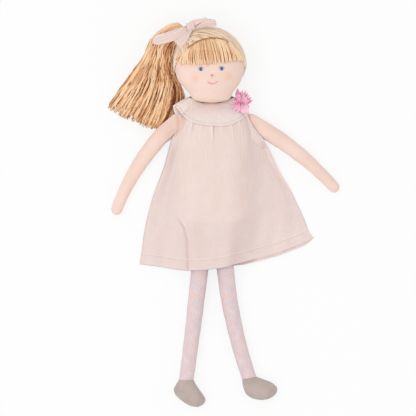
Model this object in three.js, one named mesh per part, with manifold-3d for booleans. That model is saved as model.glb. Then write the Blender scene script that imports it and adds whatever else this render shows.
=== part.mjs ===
// A cloth rag doll lying on its back. Its head, torso and limbs are stuffed cloth sewn together at
// flat seams. It has yarn hair in a side ponytail with a ribbon bow, and a gathered linen dress.
//
// Millimetres. +Z is up, out of the doll's chest, +Y runs from its feet to its head, and its left is +X.
// The origin is on the floor under the middle of the torso, on the underside of the dress.
import * as THREE from "three";
import { mergeVertices } from "three/addons/utils/BufferGeometryUtils.js";
import Module from "manifold-3d";

// Cloth and fit
const BODY_CLOTH = 1.0;
const DRESS_CLOTH = 0.8;
const TAB_CLOTH = 0.8;
const GAP = 0.4; // clearance between neighbouring pieces
const FLAT = 0.5; // depth of the flat that a soft piece gets from lying on the floor

// Torso
const TORSO_LENGTH = 106;
const TORSO_WIDTH = 68;
const TORSO_DEPTH = 30;
const TORSO_SQUARENESS = 4; // power of its outline: 2 is an ellipse, more is squarer
const SEAM_RISE = 11; // side seam above the back of the torso
const SEAM_ALLOWANCE = 3; // how far a limb's tab reaches into the seam
const TAB_REACH = 4; // how far the tab stands out of the seam

// Head and neck
const HEAD_WIDTH = 65;
const HEAD_HEIGHT = 67;
const HEAD_DEPTH = 50;
const HEAD_SHIFT = -2.8; // the head lies a little to the doll's right
const CHIN_RISE = 4.5; // chin above the top of the torso
const NECK_RADIUS = 6;
const NECK_RISE = 9.5; // middle of the neck's round end above the top of the torso
const NECK_HEIGHT = 12; // the same point above the floor

// Face
const EYE_SPACING = 18.8;
const EYE_RADIUS = 1.9;
const EYE_DROP = 2.2; // eyes below the middle of the head
const NOSE_RADIUS = 1.2;
const NOSE_DROP = 8.7;
const MOUTH_WIDTH = 11;
const MOUTH_DROP = 14.4;
const MOUTH_CURVE = 2.1;
const FACE_SHIFT = 1.2; // the face looks a little to the doll's left
const STITCH = 0.7; // height of a sewn feature and diameter of its thread

// Hair
const HAIR_THICKNESS = 3;
const PARTING_RISE = 24.5; // parting above the middle of the head
const PARTING_REACH = 20;
const FRINGE_DROP = 24; // length of the fringe below the parting
const FRINGE_HEIGHT = 6; // lowest edge of the fringe's sides above the middle of the head's depth
const NAPE_DROP = 17; // lower edge of the cap at the back, below the middle of the head
const TIE_ANGLE = 132; // degrees from the doll's left, round the head
const TIE_RADIUS = 5;
const TIE_THICKNESS = 1.6;
const PONYTAIL_LENGTH = 90;
const PONYTAIL_WIDTH = 52;
const PONYTAIL_DEPTH = 18;
const PONYTAIL_END_DEPTH = 6;

// Bow
const BOW_ANGLE = 118;
const BOW_TILT = 20; // degrees up from the middle of the head's depth
const KNOT_RADIUS = 4.5;
const LOOP_WIDTH = 10.5;
const LOOP_DEPTH = 4.4;
const LEFT_LOOP_LENGTH = 24;
const RIGHT_LOOP_LENGTH = 36;
const TAIL_ANGLE = 148;
const TAIL_TILT = 14;
const TAIL_DEPTH = 1.2;

// Arms
const ARM_LENGTH = 101;
const ARM_SEAM_WIDTH = 17;
const ARM_WIDTH = 15.4;
const HAND_WIDTH = 10.8;
const SHOULDER_DROP = 14; // shoulder below the top of the torso
const LEFT_ARM_DROOP = [28, 49]; // degrees below level, at the shoulder and at the hand
const RIGHT_ARM_DROOP = [43, 71];

// Legs and shoes
const LEG_LENGTH = 144;
const LEG_SEAM_WIDTH = 15;
const LEG_WIDTH = 15.8;
const ANKLE_WIDTH = 13.6;
const HIP_SPACING = 16.6;
const LEFT_LEG_SPLAY = [2, 19]; // degrees outward, at the hip and at the ankle
const RIGHT_LEG_SPLAY = [5.5, 7.8];
const SLIT = 1.0; // space left in the flattened end of a limb
const SHOE_LENGTH = 32;
const SHOE_HEIGHT = 19.5;
const SHOE_DEPTH = 15;
const SHOE_DROP = 12; // middle of the shoe past the ankle
const SHOE_FORWARD = 6.5;
const SHOE_TURN = 69; // degrees from the leg to the toe

// Dress
const YOKE_RISE = 9; // middle of the neckline above the top of the torso
const YOKE_WIDTH = 73;
const YOKE_DROP = 25.7; // lower edge of the yoke below the middle of the neckline
const NECKLINE_WIDTH = 40;
const NECKLINE_DROP = 4;
const COLLAR_HEIGHT = 17.2; // neckline over the neck, above the floor
const ARMPIT_DROP = 25; // lower end of the armhole below the top of the torso
const ARMPIT_REACH = 3; // the armhole's lower end out from the torso's side
const ARMHOLE_DEPTH = 5; // how far the armhole's edge curves in
const SKIRT_LENGTH = 133; // yoke to hem, down the front
const HEM_RIGHT = 67; // hem corners out from the middle
const HEM_LEFT = 92;
const HEM_RISE = 30; // the left hem corner above the lowest point of the hem
const HEM_DIP = 5; // the right hem corner above it
const BACK_HEM_DROP = 3; // the back hem shows below the front one
const SIDE_BULGE = 5;
const FOLD_DEPTH = 1.8;
const FOLDS = 6;

// Flower
const FLOWER_RADIUS = 9.6;
const FLOWER_REACH = 28; // its middle to the doll's left of the neck
const FLOWER_DROP = 4; // its middle below the middle of the neckline
const PETALS = 9;
const PETAL_HEIGHT = 4.5;

// Fineness of the meshes
const LIMB_SIDES = 10;
const TORSO_STEPS = 24;
const SHOE_STEPS = 16;
const DOME_STEPS = 5;
const HEAD_STEPS = [18, 12];
const PANEL_STEPS = [28, 12];
const YOKE_STEPS = [16, 4];

const wasm = await Module();
wasm.setup();
const { Manifold, Mesh } = wasm;
const UP = new THREE.Vector3(0, 0, 1);
const doll = new THREE.Group();

// Heights and places that several pieces share
const torsoFloor = DRESS_CLOTH + GAP;
const seamHeight = torsoFloor + SEAM_RISE;
const torsoTop = TORSO_LENGTH / 2;
const shoulderY = torsoTop - SHOULDER_DROP;
const tabHalf = TAB_CLOTH / 2 + GAP;
const hipY = -torsoTop - TAB_REACH;
const head = new THREE.Vector3(
  HEAD_SHIFT,
  torsoTop + CHIN_RISE + HEAD_HEIGHT / 2,
  HAIR_THICKNESS + GAP + HEAD_DEPTH / 2 - FLAT,
);
const headRadii = new THREE.Vector3(HEAD_WIDTH / 2, HEAD_HEIGHT / 2, HEAD_DEPTH / 2);
const neck = new THREE.Vector3(HEAD_SHIFT / 2, torsoTop + NECK_RISE, NECK_HEIGHT);
const hairLift = GAP + HAIR_THICKNESS;
const yokeMiddle = new THREE.Vector2(HEAD_SHIFT / 2, torsoTop + YOKE_RISE);
const hemLow = yokeMiddle.y - YOKE_DROP - SKIRT_LENGTH;

function mix(from, to, share) {
  return from + (to - from) * share;
}

function smooth(share) {
  const inside = Math.min(Math.max(share, 0), 1);
  return inside * inside * (3 - 2 * inside);
}

function radians(degrees) {
  return (degrees * Math.PI) / 180;
}

// Geometry from points and triangles, turned so that its faces look outward
function closedGeometry(points, triangles) {
  let volume = 0;
  for (const [a, b, c] of triangles) {
    volume += points[a].dot(points[b].clone().cross(points[c]));
  }
  const order = volume < 0 ? [0, 2, 1] : [0, 1, 2];
  const geometry = new THREE.BufferGeometry();
  geometry.setAttribute("position", new THREE.Float32BufferAttribute(points.flatMap((p) => p.toArray()), 3));
  geometry.setIndex(triangles.flatMap((triangle) => order.map((corner) => triangle[corner])));
  return geometry;
}

function middleOf(ring) {
  const sum = ring.reduce((total, point) => total.add(point), new THREE.Vector3());
  return sum.divideScalar(ring.length);
}

// A closed skin through rings of points, with a pole at each end
function loft(rings, startPole = middleOf(rings[0]), endPole = middleOf(rings.at(-1))) {
  const count = rings[0].length;
  const points = [...rings.flat(), startPole, endPole];
  const start = points.length - 2;
  const end = points.length - 1;
  const triangles = [];
  for (let k = 0; k < count; k += 1) {
    const next = (k + 1) % count;
    triangles.push([start, next, k]);
    for (let ring = 0; ring + 1 < rings.length; ring += 1) {
      const low = ring * count;
      const high = low + count;
      triangles.push([low + k, low + next, high + next]);
      triangles.push([low + k, high + next, high + k]);
    }
    const last = (rings.length - 1) * count;
    triangles.push([end, last + k, last + next]);
  }
  return closedGeometry(points, triangles);
}

// One elliptical section, level at the bottom where it meets the floor
function sectionRing({ centre, side, up = UP, halfWidth, halfDepth, floor = 0 }, sides = LIMB_SIDES) {
  return Array.from({ length: sides }, (_, k) => {
    const angle = (2 * Math.PI * k) / sides;
    const point = centre.clone();
    point.addScaledVector(side, halfWidth * Math.cos(angle));
    point.addScaledVector(up, halfDepth * Math.sin(angle));
    point.z = Math.max(point.z, floor);
    return point;
  });
}

// A sheet of even thickness over a grid: surface(across, down) gives the underside
function sheet([columns, rows], thickness, surface) {
  const under = [];
  for (let row = 0; row <= rows; row += 1) {
    for (let column = 0; column <= columns; column += 1) {
      under.push(surface(column / columns, row / rows));
    }
  }
  const over = under.map((point) => point.clone().addScaledVector(UP, thickness));
  const width = columns + 1;
  const count = under.length;
  const triangles = [];
  for (let row = 0; row < rows; row += 1) {
    for (let column = 0; column < columns; column += 1) {
      const a = row * width + column;
      const b = a + 1;
      const c = b + width;
      const d = a + width;
      triangles.push([a, b, c], [a, c, d]);
      triangles.push([count + a, count + c, count + b], [count + a, count + d, count + c]);
    }
  }
  const edge = [];
  for (let column = 0; column < columns; column += 1) edge.push(column);
  for (let row = 0; row < rows; row += 1) edge.push(row * width + columns);
  for (let column = columns; column > 0; column -= 1) edge.push(rows * width + column);
  for (let row = rows; row > 0; row -= 1) edge.push(row * width);
  edge.forEach((a, k) => {
    const b = edge[(k + 1) % edge.length];
    triangles.push([a, count + a, count + b], [a, count + b, b]);
  });
  return closedGeometry([...under, ...over], triangles);
}

function solidOf(geometry) {
  const merged = mergeVertices(geometry.clone().deleteAttribute("normal").deleteAttribute("uv"), 1e-4);
  const mesh = new Mesh({
    numProp: 3,
    vertProperties: new Float32Array(merged.attributes.position.array),
    triVerts: new Uint32Array(merged.index.array),
  });
  mesh.merge();
  return new Manifold(mesh);
}

function geometryOf(solid) {
  const mesh = solid.getMesh();
  const geometry = new THREE.BufferGeometry();
  geometry.setAttribute("position", new THREE.Float32BufferAttribute(mesh.vertProperties, 3));
  geometry.setIndex(new THREE.BufferAttribute(mesh.triVerts, 1));
  return geometry;
}

function boxBetween(low, high) {
  const size = high.clone().sub(low);
  const box = new THREE.BoxGeometry(size.x, size.y, size.z);
  const middle = low.clone().add(high).divideScalar(2);
  return solidOf(box.translate(middle.x, middle.y, middle.z));
}

function ellipsoid(centre, radii, [around, up] = HEAD_STEPS) {
  const ball = new THREE.SphereGeometry(1, around, up);
  return solidOf(ball.scale(radii.x, radii.y, radii.z).translate(centre.x, centre.y, centre.z));
}

function addPart(name, geometry, material) {
  const smoothed = geometry.clone();
  smoothed.computeVertexNormals();
  const mesh = new THREE.Mesh(smoothed, material);
  mesh.name = name;
  doll.add(mesh);
}

function cloth(colour, roughness = 0.95) {
  return new THREE.MeshStandardMaterial({ color: colour, roughness, metalness: 0 });
}

const skinCloth = cloth("#f0d5c8");
const dressLinen = cloth("#eadbd3");
const stockingCloth = cloth("#dfd0d1");
const shoeFelt = cloth("#c0b0a9");
const yarn = cloth("#dcb18a");
const ribbon = cloth("#e6cdc1");
const petalCloth = cloth("#e2a2bd");
const eyeThread = cloth("#7d93ad", 0.8);
const lipThread = cloth("#dc9a96", 0.8);
const partingThread = cloth("#8d6748", 0.8);
const filling = cloth("#f3f1ec");

// A pillow: a rounded outline that draws in towards its top and its bottom
function pillowRing(shape, rise) {
  const { middle, halfWidth, halfLength, power, turn, seam, above, below, steps } = shape;
  const share = Math.cos(rise);
  const height = seam + (rise > 0 ? above : below) * Math.sin(rise);
  return Array.from({ length: steps }, (_, k) => {
    const angle = (2 * Math.PI * k) / steps;
    const across = Math.sign(Math.cos(angle)) * Math.abs(Math.cos(angle)) ** (2 / power) * halfWidth * share;
    const along = Math.sign(Math.sin(angle)) * Math.abs(Math.sin(angle)) ** (2 / power) * halfLength * share;
    const x = middle.x + across * Math.cos(turn) - along * Math.sin(turn);
    const y = middle.y + across * Math.sin(turn) + along * Math.cos(turn);
    return new THREE.Vector3(x, y, Math.max(height, shape.floor));
  });
}

function pillowPole(shape, rise) {
  const height = shape.seam + (rise > 0 ? shape.above : -shape.below);
  return new THREE.Vector3(shape.middle.x, shape.middle.y, Math.max(height, shape.floor));
}

function risesBetween(low, high, steps) {
  return Array.from({ length: steps }, (_, k) => mix(low, high, k / steps));
}

function pillow(shape) {
  const rises = risesBetween(-Math.PI / 2, Math.PI / 2, 2 * DOME_STEPS).slice(1);
  const rings = rises.map((rise) => pillowRing(shape, rise));
  return loft(rings, pillowPole(shape, -1), pillowPole(shape, 1));
}

// Half of a pillow's cloth: a bowl that ends at the seam, above it (sign 1) or below it (sign -1)
function pillowBowl(outer, inner, sign, seamGap) {
  const ringsOf = (shape) => {
    const reach = sign > 0 ? shape.above : shape.below;
    const rises = risesBetween(Math.asin(seamGap / reach), Math.PI / 2, DOME_STEPS);
    return rises.map((rise) => pillowRing(shape, sign * rise));
  };
  const rings = [...ringsOf(outer).reverse(), ...ringsOf(inner)];
  return loft(rings, pillowPole(outer, sign), pillowPole(inner, sign));
}

// Torso
function torsoShape(inset, sideInset = inset) {
  return {
    middle: new THREE.Vector2(0, 0),
    halfWidth: TORSO_WIDTH / 2 - sideInset,
    halfLength: TORSO_LENGTH / 2 - sideInset,
    power: TORSO_SQUARENESS,
    turn: 0,
    seam: seamHeight,
    above: TORSO_DEPTH - SEAM_RISE - inset,
    below: SEAM_RISE - inset,
    floor: 0,
    steps: TORSO_STEPS,
  };
}

function torsoEdge(y) {
  const share = 1 - Math.min(Math.abs(y) / (TORSO_LENGTH / 2), 1) ** TORSO_SQUARENESS;
  return (TORSO_WIDTH / 2) * share ** (1 / TORSO_SQUARENESS);
}

// How much of the torso's height above or below its seam is left at a point: 1 in the middle, 0 outside.
// The outline is a little wider than the torso, so that cloth on it clears its steep edge.
function torsoSwell(x, y) {
  const across = (Math.abs(x) / (TORSO_WIDTH / 2 + 2 * GAP)) ** TORSO_SQUARENESS;
  const along = (Math.abs(y) / (TORSO_LENGTH / 2 + 2 * GAP)) ** TORSO_SQUARENESS;
  const reach = (across + along) ** (2 / TORSO_SQUARENESS);
  return Math.sqrt(Math.max(0, 1 - reach));
}

function torsoFront(x, y) {
  return seamHeight + (TORSO_DEPTH - SEAM_RISE) * torsoSwell(x, y);
}

function torsoBack(x, y) {
  return seamHeight - SEAM_RISE * torsoSwell(x, y);
}

function addTorso() {
  const outer = torsoShape(0);
  const inner = torsoShape(BODY_CLOTH);
  const filled = torsoShape(BODY_CLOTH + GAP, BODY_CLOTH + SEAM_ALLOWANCE + 4 * GAP);
  addPart("torso_front_cloth", pillowBowl(outer, inner, 1, tabHalf), skinCloth);
  addPart("torso_back_cloth", pillowBowl(outer, inner, -1, tabHalf), skinCloth);
  addPart("torso_stuffing", pillow(filled), filling);
}

function addNeck() {
  const base = new THREE.Vector3(neck.x, torsoTop + GAP, seamHeight);
  const sections = [];
  const steps = 4;
  for (let k = 0; k < steps; k += 1) {
    const share = k / steps;
    const centre = base.clone().lerp(neck, share);
    sections.push({ centre, halfWidth: NECK_RADIUS + 2 * (1 - share), halfDepth: mix(3.5, NECK_RADIUS, share) });
  }
  for (let k = 0; k < 5; k += 1) {
    const rise = (k / 5) * (Math.PI / 2);
    const centre = neck.clone().add(new THREE.Vector3(0, NECK_RADIUS * Math.sin(rise), 0));
    const radius = NECK_RADIUS * Math.cos(rise);
    sections.push({ centre, halfWidth: radius, halfDepth: radius });
  }
  const side = new THREE.Vector3(1, 0, 0);
  const rings = sections.map((section) => sectionRing({ ...section, side }));
  const tip = neck.clone().add(new THREE.Vector3(0, NECK_RADIUS, 0));
  addPart("neck", loft(rings, base, tip), skinCloth);
}

// Head
function headShape(lift) {
  return ellipsoid(head, headRadii.clone().addScalar(lift));
}

function neckSocket() {
  const radius = NECK_RADIUS + GAP;
  return ellipsoid(neck, new THREE.Vector3(radius, radius, radius), [20, 12]);
}

// The point of the head's front at a place on the face, lifted off the cloth, and its normal
function onHead(x, y, lift, hair = 0) {
  const radii = headRadii.clone().addScalar(hair);
  const across = x / radii.x;
  const along = y / radii.y;
  const depth = Math.sqrt(Math.max(0, 1 - across * across - along * along));
  const normal = new THREE.Vector3(across / radii.x, along / radii.y, depth / radii.z).normalize();
  const point = new THREE.Vector3(x, y, depth * radii.z).add(head).addScaledVector(normal, lift);
  return { point, normal };
}

function addHead() {
  const socket = neckSocket();
  addPart("head_cloth", geometryOf(headShape(0).subtract(headShape(-BODY_CLOTH)).subtract(socket)), skinCloth);
  addPart("head_stuffing", geometryOf(headShape(-BODY_CLOTH - GAP).subtract(socket)), filling);
}

function sewnDot(x, y, radius) {
  const dot = new THREE.CylinderGeometry(radius, radius, STITCH, 16);
  const { point, normal } = onHead(x, y, GAP + STITCH / 2);
  dot.applyQuaternion(new THREE.Quaternion().setFromUnitVectors(new THREE.Vector3(0, 1, 0), normal));
  return dot.translate(point.x, point.y, point.z);
}

// A round thread along a curve through points
function thread(points, radius, steps) {
  const curve = new THREE.CatmullRomCurve3(points);
  const rings = [];
  for (let k = 0; k <= steps; k += 1) {
    const along = curve.getTangentAt(k / steps);
    const side = new THREE.Vector3(-along.y, along.x, 0).normalize();
    rings.push(sectionRing({ centre: curve.getPointAt(k / steps), side, halfWidth: radius, halfDepth: radius }, 6));
  }
  return loft(rings);
}

function addFace() {
  addPart("left_eye", sewnDot(FACE_SHIFT + EYE_SPACING / 2, -EYE_DROP, EYE_RADIUS), eyeThread);
  addPart("right_eye", sewnDot(FACE_SHIFT - EYE_SPACING / 2, -EYE_DROP, EYE_RADIUS), eyeThread);
  addPart("nose", sewnDot(FACE_SHIFT, -NOSE_DROP, NOSE_RADIUS), lipThread);
  const lift = GAP + STITCH / 2;
  const smile = [-1, -0.5, 0, 0.5, 1].map((share) => {
    const rise = MOUTH_CURVE * share * share;
    return onHead(FACE_SHIFT + (share * MOUTH_WIDTH) / 2, rise - MOUTH_DROP - MOUTH_CURVE, lift).point;
  });
  addPart("mouth", thread(smile, STITCH / 2, 12), lipThread);
}

// Hair
function addHair() {
  const far = HEAD_WIDTH + HEAD_HEIGHT;
  const parting = head.y + PARTING_RISE;
  const layer = headShape(hairLift).subtract(headShape(GAP));
  const face = boxBetween(new THREE.Vector3(-far, -far, head.z), new THREE.Vector3(far, parting, far));
  const nape = boxBetween(
    new THREE.Vector3(-far, -far, -far),
    new THREE.Vector3(far, head.y - NAPE_DROP, far),
  );
  const floor = boxBetween(new THREE.Vector3(-far, -far, -far), new THREE.Vector3(far, 2 * far, 0));
  addPart("hair_cap", geometryOf(layer.subtract(face).subtract(nape).subtract(floor)), yarn);

  const front = boxBetween(
    new THREE.Vector3(-far, parting - FRINGE_DROP, head.z + FRINGE_HEIGHT),
    new THREE.Vector3(far, parting - GAP, far),
  );
  addPart("fringe", geometryOf(layer.intersect(front)), yarn);

  const lift = GAP + STITCH / 2;
  const stitches = [-1, -0.5, 0, 0.5, 1].map(
    (share) => onHead(share * PARTING_REACH, PARTING_RISE - GAP / 2, lift, hairLift).point,
  );
  addPart("parting_stitch", thread(stitches, STITCH / 2, 14), partingThread);
}

// The tie stands off the side of the hair cap, at the middle of the head's depth
function tiePoint() {
  const angle = radians(TIE_ANGLE);
  const across = Math.cos(angle) / (headRadii.x + hairLift);
  const along = Math.sin(angle) / (headRadii.y + hairLift);
  const reach = 1 / Math.hypot(across, along) + TIE_RADIUS + GAP;
  return new THREE.Vector3(head.x + reach * Math.cos(angle), head.y + reach * Math.sin(angle), head.z);
}

function addPonytail() {
  const tie = tiePoint();
  // The hair leaves the tie to the doll's right, bends down beside the head and spreads on the floor
  const route = [
    [0, 0, 0],
    [-0.15, -0.08, -0.06],
    [-0.23, -0.22, -0.15],
    [-0.29, -0.4, -0.21],
    [-0.35, -0.6, -0.24],
    [-0.42, -0.82, -0.26],
  ];
  const points = route.map(([x, y, z]) => new THREE.Vector3(x, y, z).multiplyScalar(PONYTAIL_LENGTH).add(tie));
  const curve = new THREE.CatmullRomCurve3(points);
  const shares = [0, 0.08, 0.18, 0.3, 0.42, 0.54, 0.66, 0.78, 0.9, 1];
  const rings = shares.map((share) => {
    const along = curve.getTangentAt(share);
    const side = new THREE.Vector3(-along.y, along.x, 0).normalize();
    const spread = Math.min(Math.max((share - 0.08) / 0.72, 0), 1);
    const fall = smooth((share - 0.45) / 0.5);
    const swell = mix(2 * TIE_RADIUS, PONYTAIL_DEPTH, smooth((share - 0.08) / 0.2));
    const halfDepth = mix(swell, PONYTAIL_END_DEPTH, fall) / 2;
    const centre = curve.getPointAt(share);
    centre.z = Math.max(centre.z, halfDepth - FLAT);
    return sectionRing({ centre, side, halfWidth: mix(2 * TIE_RADIUS, PONYTAIL_WIDTH, spread) / 2, halfDepth });
  });
  const hair = solidOf(loft(rings));
  const clear = headShape(hairLift + GAP);
  const arm = solidOf(loft(limbRings(armOf(-1), -2 * GAP)));
  addPart("ponytail", geometryOf(hair.subtract(clear).subtract(arm)), yarn);
  const ring = new THREE.TorusGeometry(TIE_RADIUS + 2 * GAP + TIE_THICKNESS / 2, TIE_THICKNESS / 2, 6, 16);
  const along = curve.getTangentAt(0.05).setZ(0).normalize();
  ring.applyQuaternion(new THREE.Quaternion().setFromUnitVectors(UP, along));
  const place = curve.getPointAt(0.05);
  addPart("hair_tie", ring.translate(place.x, place.y, place.z), ribbon);
}

// A ribbon end that widens from the knot: a loop is deep and a tail is flat
function ribbonBlade(from, to, up, depth, shares) {
  const along = to.clone().sub(from);
  const side = up.clone().cross(along).normalize();
  const rings = shares.map(([share, spread]) => {
    const centre = from.clone().addScaledVector(along, share);
    const halfWidth = (LOOP_WIDTH / 2) * spread;
    const halfDepth = (depth / 2) * Math.min(1, 0.5 + spread / 2);
    return sectionRing({ centre, side, up, halfWidth, halfDepth }, 8);
  });
  return loft(rings);
}

// A point over the hair, found by its directions from the middle of the head, and its normal
function onHair(turn, tilt, lift) {
  const radii = headRadii.clone().addScalar(hairLift);
  const level = Math.cos(radians(tilt));
  const direction = new THREE.Vector3(
    level * Math.cos(radians(turn)),
    level * Math.sin(radians(turn)),
    Math.sin(radians(tilt)),
  );
  const normal = direction.clone().divide(radii).normalize();
  const point = direction.multiply(radii).add(head).addScaledVector(normal, lift);
  return { point, normal };
}

function addBow() {
  const knot = onHair(BOW_ANGLE, BOW_TILT, KNOT_RADIUS + GAP).point;
  const ball = new THREE.SphereGeometry(KNOT_RADIUS, 12, 8);
  addPart("bow_knot", ball.translate(knot.x, knot.y, knot.z), ribbon);

  const loop = [
    [0, 0.45],
    [0.3, 0.75],
    [0.6, 0.98],
    [0.85, 0.95],
    [1, 0.55],
  ];
  const addLoop = (name, angle, slope, length) => {
    const way = new THREE.Vector3(Math.cos(radians(angle)), Math.sin(radians(angle)), slope);
    const middle = knot.clone().addScaledVector(UP, LOOP_DEPTH / 2);
    const from = middle.clone().addScaledVector(way, KNOT_RADIUS + GAP);
    const to = middle.clone().addScaledVector(way, length);
    addPart(name, ribbonBlade(from, to, UP, LOOP_DEPTH, loop), ribbon);
  };
  addLoop("bow_left_loop", 10, 0, LEFT_LOOP_LENGTH);
  addLoop("bow_right_loop", 199, -0.2, RIGHT_LOOP_LENGTH);

  const tail = [
    [0, 0.4],
    [0.4, 0.7],
    [1, 0.9],
  ];
  const end = onHair(TAIL_ANGLE, TAIL_TILT, 4 * GAP);
  const way = end.point.clone().sub(knot).normalize();
  const from = knot.clone().addScaledVector(way, KNOT_RADIUS + GAP);
  const up = end.normal.addScaledVector(way, -end.normal.dot(way)).normalize();
  addPart("bow_tail", ribbonBlade(from, end.point, up, TAIL_DEPTH, tail), ribbon);
}

// Limbs: side is 1 for the doll's left and -1 for its right
function armOf(side) {
  const droop = side > 0 ? LEFT_ARM_DROOP : RIGHT_ARM_DROOP;
  const headings = droop.map((angle) => (side > 0 ? -radians(angle) : Math.PI + radians(angle)));
  return {
    root: new THREE.Vector2(side * (torsoEdge(shoulderY) + TAB_REACH + GAP), shoulderY),
    headings,
    length: ARM_LENGTH,
    seam: new THREE.Vector3(0, side, 0),
    seamWidth: ARM_SEAM_WIDTH,
    width: ARM_WIDTH,
    endWidth: HAND_WIDTH,
    round: true,
    floorAt: () => 0,
  };
}

function legOf(side) {
  const splay = side > 0 ? LEFT_LEG_SPLAY : RIGHT_LEG_SPLAY;
  const covered = hipY - hemLow + BACK_HEM_DROP + LEG_WIDTH / 2;
  return {
    root: new THREE.Vector2((side * HIP_SPACING) / 2, hipY - GAP),
    headings: splay.map((angle) => -Math.PI / 2 + side * radians(angle)),
    length: LEG_LENGTH,
    seam: new THREE.Vector3(1, 0, 0),
    seamWidth: LEG_SEAM_WIDTH,
    width: LEG_WIDTH,
    endWidth: ANKLE_WIDTH,
    round: false,
    floorAt: (distance) => torsoFloor * (1 - smooth((distance - covered) / LEG_WIDTH)),
  };
}

function limbHeading(limb, distance) {
  return mix(limb.headings[0], limb.headings[1], distance / limb.length);
}

function limbPoint(limb, distance) {
  const turn = limb.headings[1] - limb.headings[0];
  const radius = limb.length / turn;
  const heading = limbHeading(limb, distance);
  return new THREE.Vector2(
    limb.root.x + radius * (Math.sin(heading) - Math.sin(limb.headings[0])),
    limb.root.y - radius * (Math.cos(heading) - Math.cos(limb.headings[0])),
  );
}

// The limb's section at a distance from its sewn end: flat at the seam, full at a fifth of its length
function limbSection(limb, distance, inset, shrink = 1) {
  const share = distance / limb.length;
  const heading = limbHeading(limb, distance);
  const square = new THREE.Vector3(-Math.sin(heading), Math.cos(heading), 0);
  const side = limb.seam.clone().lerp(square, smooth(share / 0.25)).normalize();
  const full = mix(limb.width, limb.endWidth, smooth((share - 0.2) / 0.8));
  const width = mix(limb.seamWidth, full, smooth(share / 0.2));
  const depth = mix(2 * BODY_CLOTH + SLIT, full * 0.96, smooth(share / 0.22));
  const place = limbPoint(limb, distance);
  const floor = limb.floorAt(distance);
  const height = mix(seamHeight, floor + depth / 2 - FLAT, smooth(share / 0.34));
  return {
    centre: new THREE.Vector3(place.x, place.y, height),
    side,
    halfWidth: (width / 2 - inset) * shrink,
    halfDepth: (depth / 2 - inset) * shrink,
    floor: floor + inset,
  };
}

function limbRings(limb, inset, start = 0) {
  const tip = limb.round ? limb.endWidth / 2 : 0;
  const shares = [0, 0.04, 0.09, 0.15, 0.22, 0.34, 0.48, 0.62, 0.76, 0.88, 1];
  const straight = limb.length - tip;
  const sections = shares
    .filter((share) => share >= start)
    .map((share) => limbSection(limb, share * straight, inset));
  if (limb.round) {
    for (const rise of [0.4, 0.75, 1.05, 1.3, 1.48]) {
      const distance = straight + (tip - inset) * Math.sin(rise);
      sections.push(limbSection(limb, distance, inset, Math.cos(rise)));
    }
  }
  return sections.map((section) => sectionRing(section));
}

function addTab(name, x, y, width, length) {
  const tab = new THREE.BoxGeometry(width, length, TAB_CLOTH);
  addPart(name, tab.translate(x, y, seamHeight), skinCloth);
}

const STUFFING_START = 0.09;

function addArm(side, name) {
  const arm = armOf(side);
  const outer = limbRings(arm, 0);
  const inner = limbRings(arm, BODY_CLOTH);
  addPart(`${name}_arm_cloth`, loft([...outer.reverse(), ...inner]), skinCloth);
  addPart(`${name}_arm_stuffing`, loft(limbRings(arm, BODY_CLOTH + GAP, STUFFING_START)), filling);
  const depth = TAB_REACH + SEAM_ALLOWANCE;
  const middle = torsoEdge(shoulderY) + TAB_REACH - depth / 2;
  addTab(`${name}_shoulder_tab`, side * middle, shoulderY, depth, ARM_SEAM_WIDTH);
}

function shoeShape(leg, inset) {
  const heading = leg.headings[1];
  const ankle = limbPoint(leg, leg.length);
  const way = new THREE.Vector2(Math.cos(heading), Math.sin(heading));
  const toe = new THREE.Vector2(-way.y, way.x);
  return {
    middle: ankle.addScaledVector(way, SHOE_DROP).addScaledVector(toe, SHOE_FORWARD),
    halfWidth: SHOE_LENGTH / 2 - inset,
    halfLength: SHOE_HEIGHT / 2 - inset,
    power: 2.4,
    turn: heading + radians(SHOE_TURN),
    seam: SHOE_DEPTH / 2 - FLAT,
    above: SHOE_DEPTH / 2 - inset,
    below: SHOE_DEPTH / 2 - inset,
    floor: inset,
    steps: SHOE_STEPS,
  };
}

// A shoe: its foot and the collar round the ankle, the collar starting some way from the leg's end
function shoeSolid(leg, inset, start) {
  const foot = solidOf(pillow(shoeShape(leg, inset)));
  const heading = leg.headings[1];
  const way = new THREE.Vector3(Math.cos(heading), Math.sin(heading), 0);
  const ankle = limbSection(leg, leg.length, inset);
  const collar = [start, SHOE_DROP].map((distance) =>
    sectionRing({ ...ankle, centre: ankle.centre.clone().addScaledVector(way, distance) }),
  );
  return foot.add(solidOf(loft(collar)));
}

function addLeg(side, name) {
  const leg = legOf(side);
  const outer = limbRings(leg, 0);
  const inner = limbRings(leg, BODY_CLOTH, STUFFING_START);
  addPart(`${name}_leg_cloth`, loft([...outer, ...inner.reverse()]), stockingCloth);
  const filled = limbRings(leg, BODY_CLOTH + GAP, 0.15);
  addPart(`${name}_leg_stuffing`, loft(filled), filling);

  const hollow = shoeSolid(leg, BODY_CLOTH, -GAP);
  addPart(`${name}_shoe_cloth`, geometryOf(shoeSolid(leg, 0, GAP).subtract(hollow)), shoeFelt);
  addPart(`${name}_shoe_stuffing`, geometryOf(shoeSolid(leg, BODY_CLOTH + GAP, GAP)), filling);

  const depth = TAB_REACH + SEAM_ALLOWANCE;
  addTab(`${name}_hip_tab`, (side * HIP_SPACING) / 2, hipY + depth / 2, LEG_SEAM_WIDTH, depth);
}

// Dress
function yokePoint(angle, share) {
  const reach = mix(NECKLINE_WIDTH, YOKE_WIDTH, share) / 2;
  const drop = mix(NECKLINE_DROP, YOKE_DROP, share);
  return new THREE.Vector2(yokeMiddle.x + reach * Math.cos(angle), yokeMiddle.y + drop * Math.sin(angle));
}

const YOKE_SWEEP = [radians(192), radians(348)];
const YOKE_ENDS = [radians(212), radians(328)]; // where the armholes meet the yoke

const wingHeight = seamHeight + BODY_CLOTH + SLIT; // the dress over the flat end of an arm

function besideNeck(x) {
  return Math.min(1, Math.abs(x - yokeMiddle.x) / (NECKLINE_WIDTH / 2));
}

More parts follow.
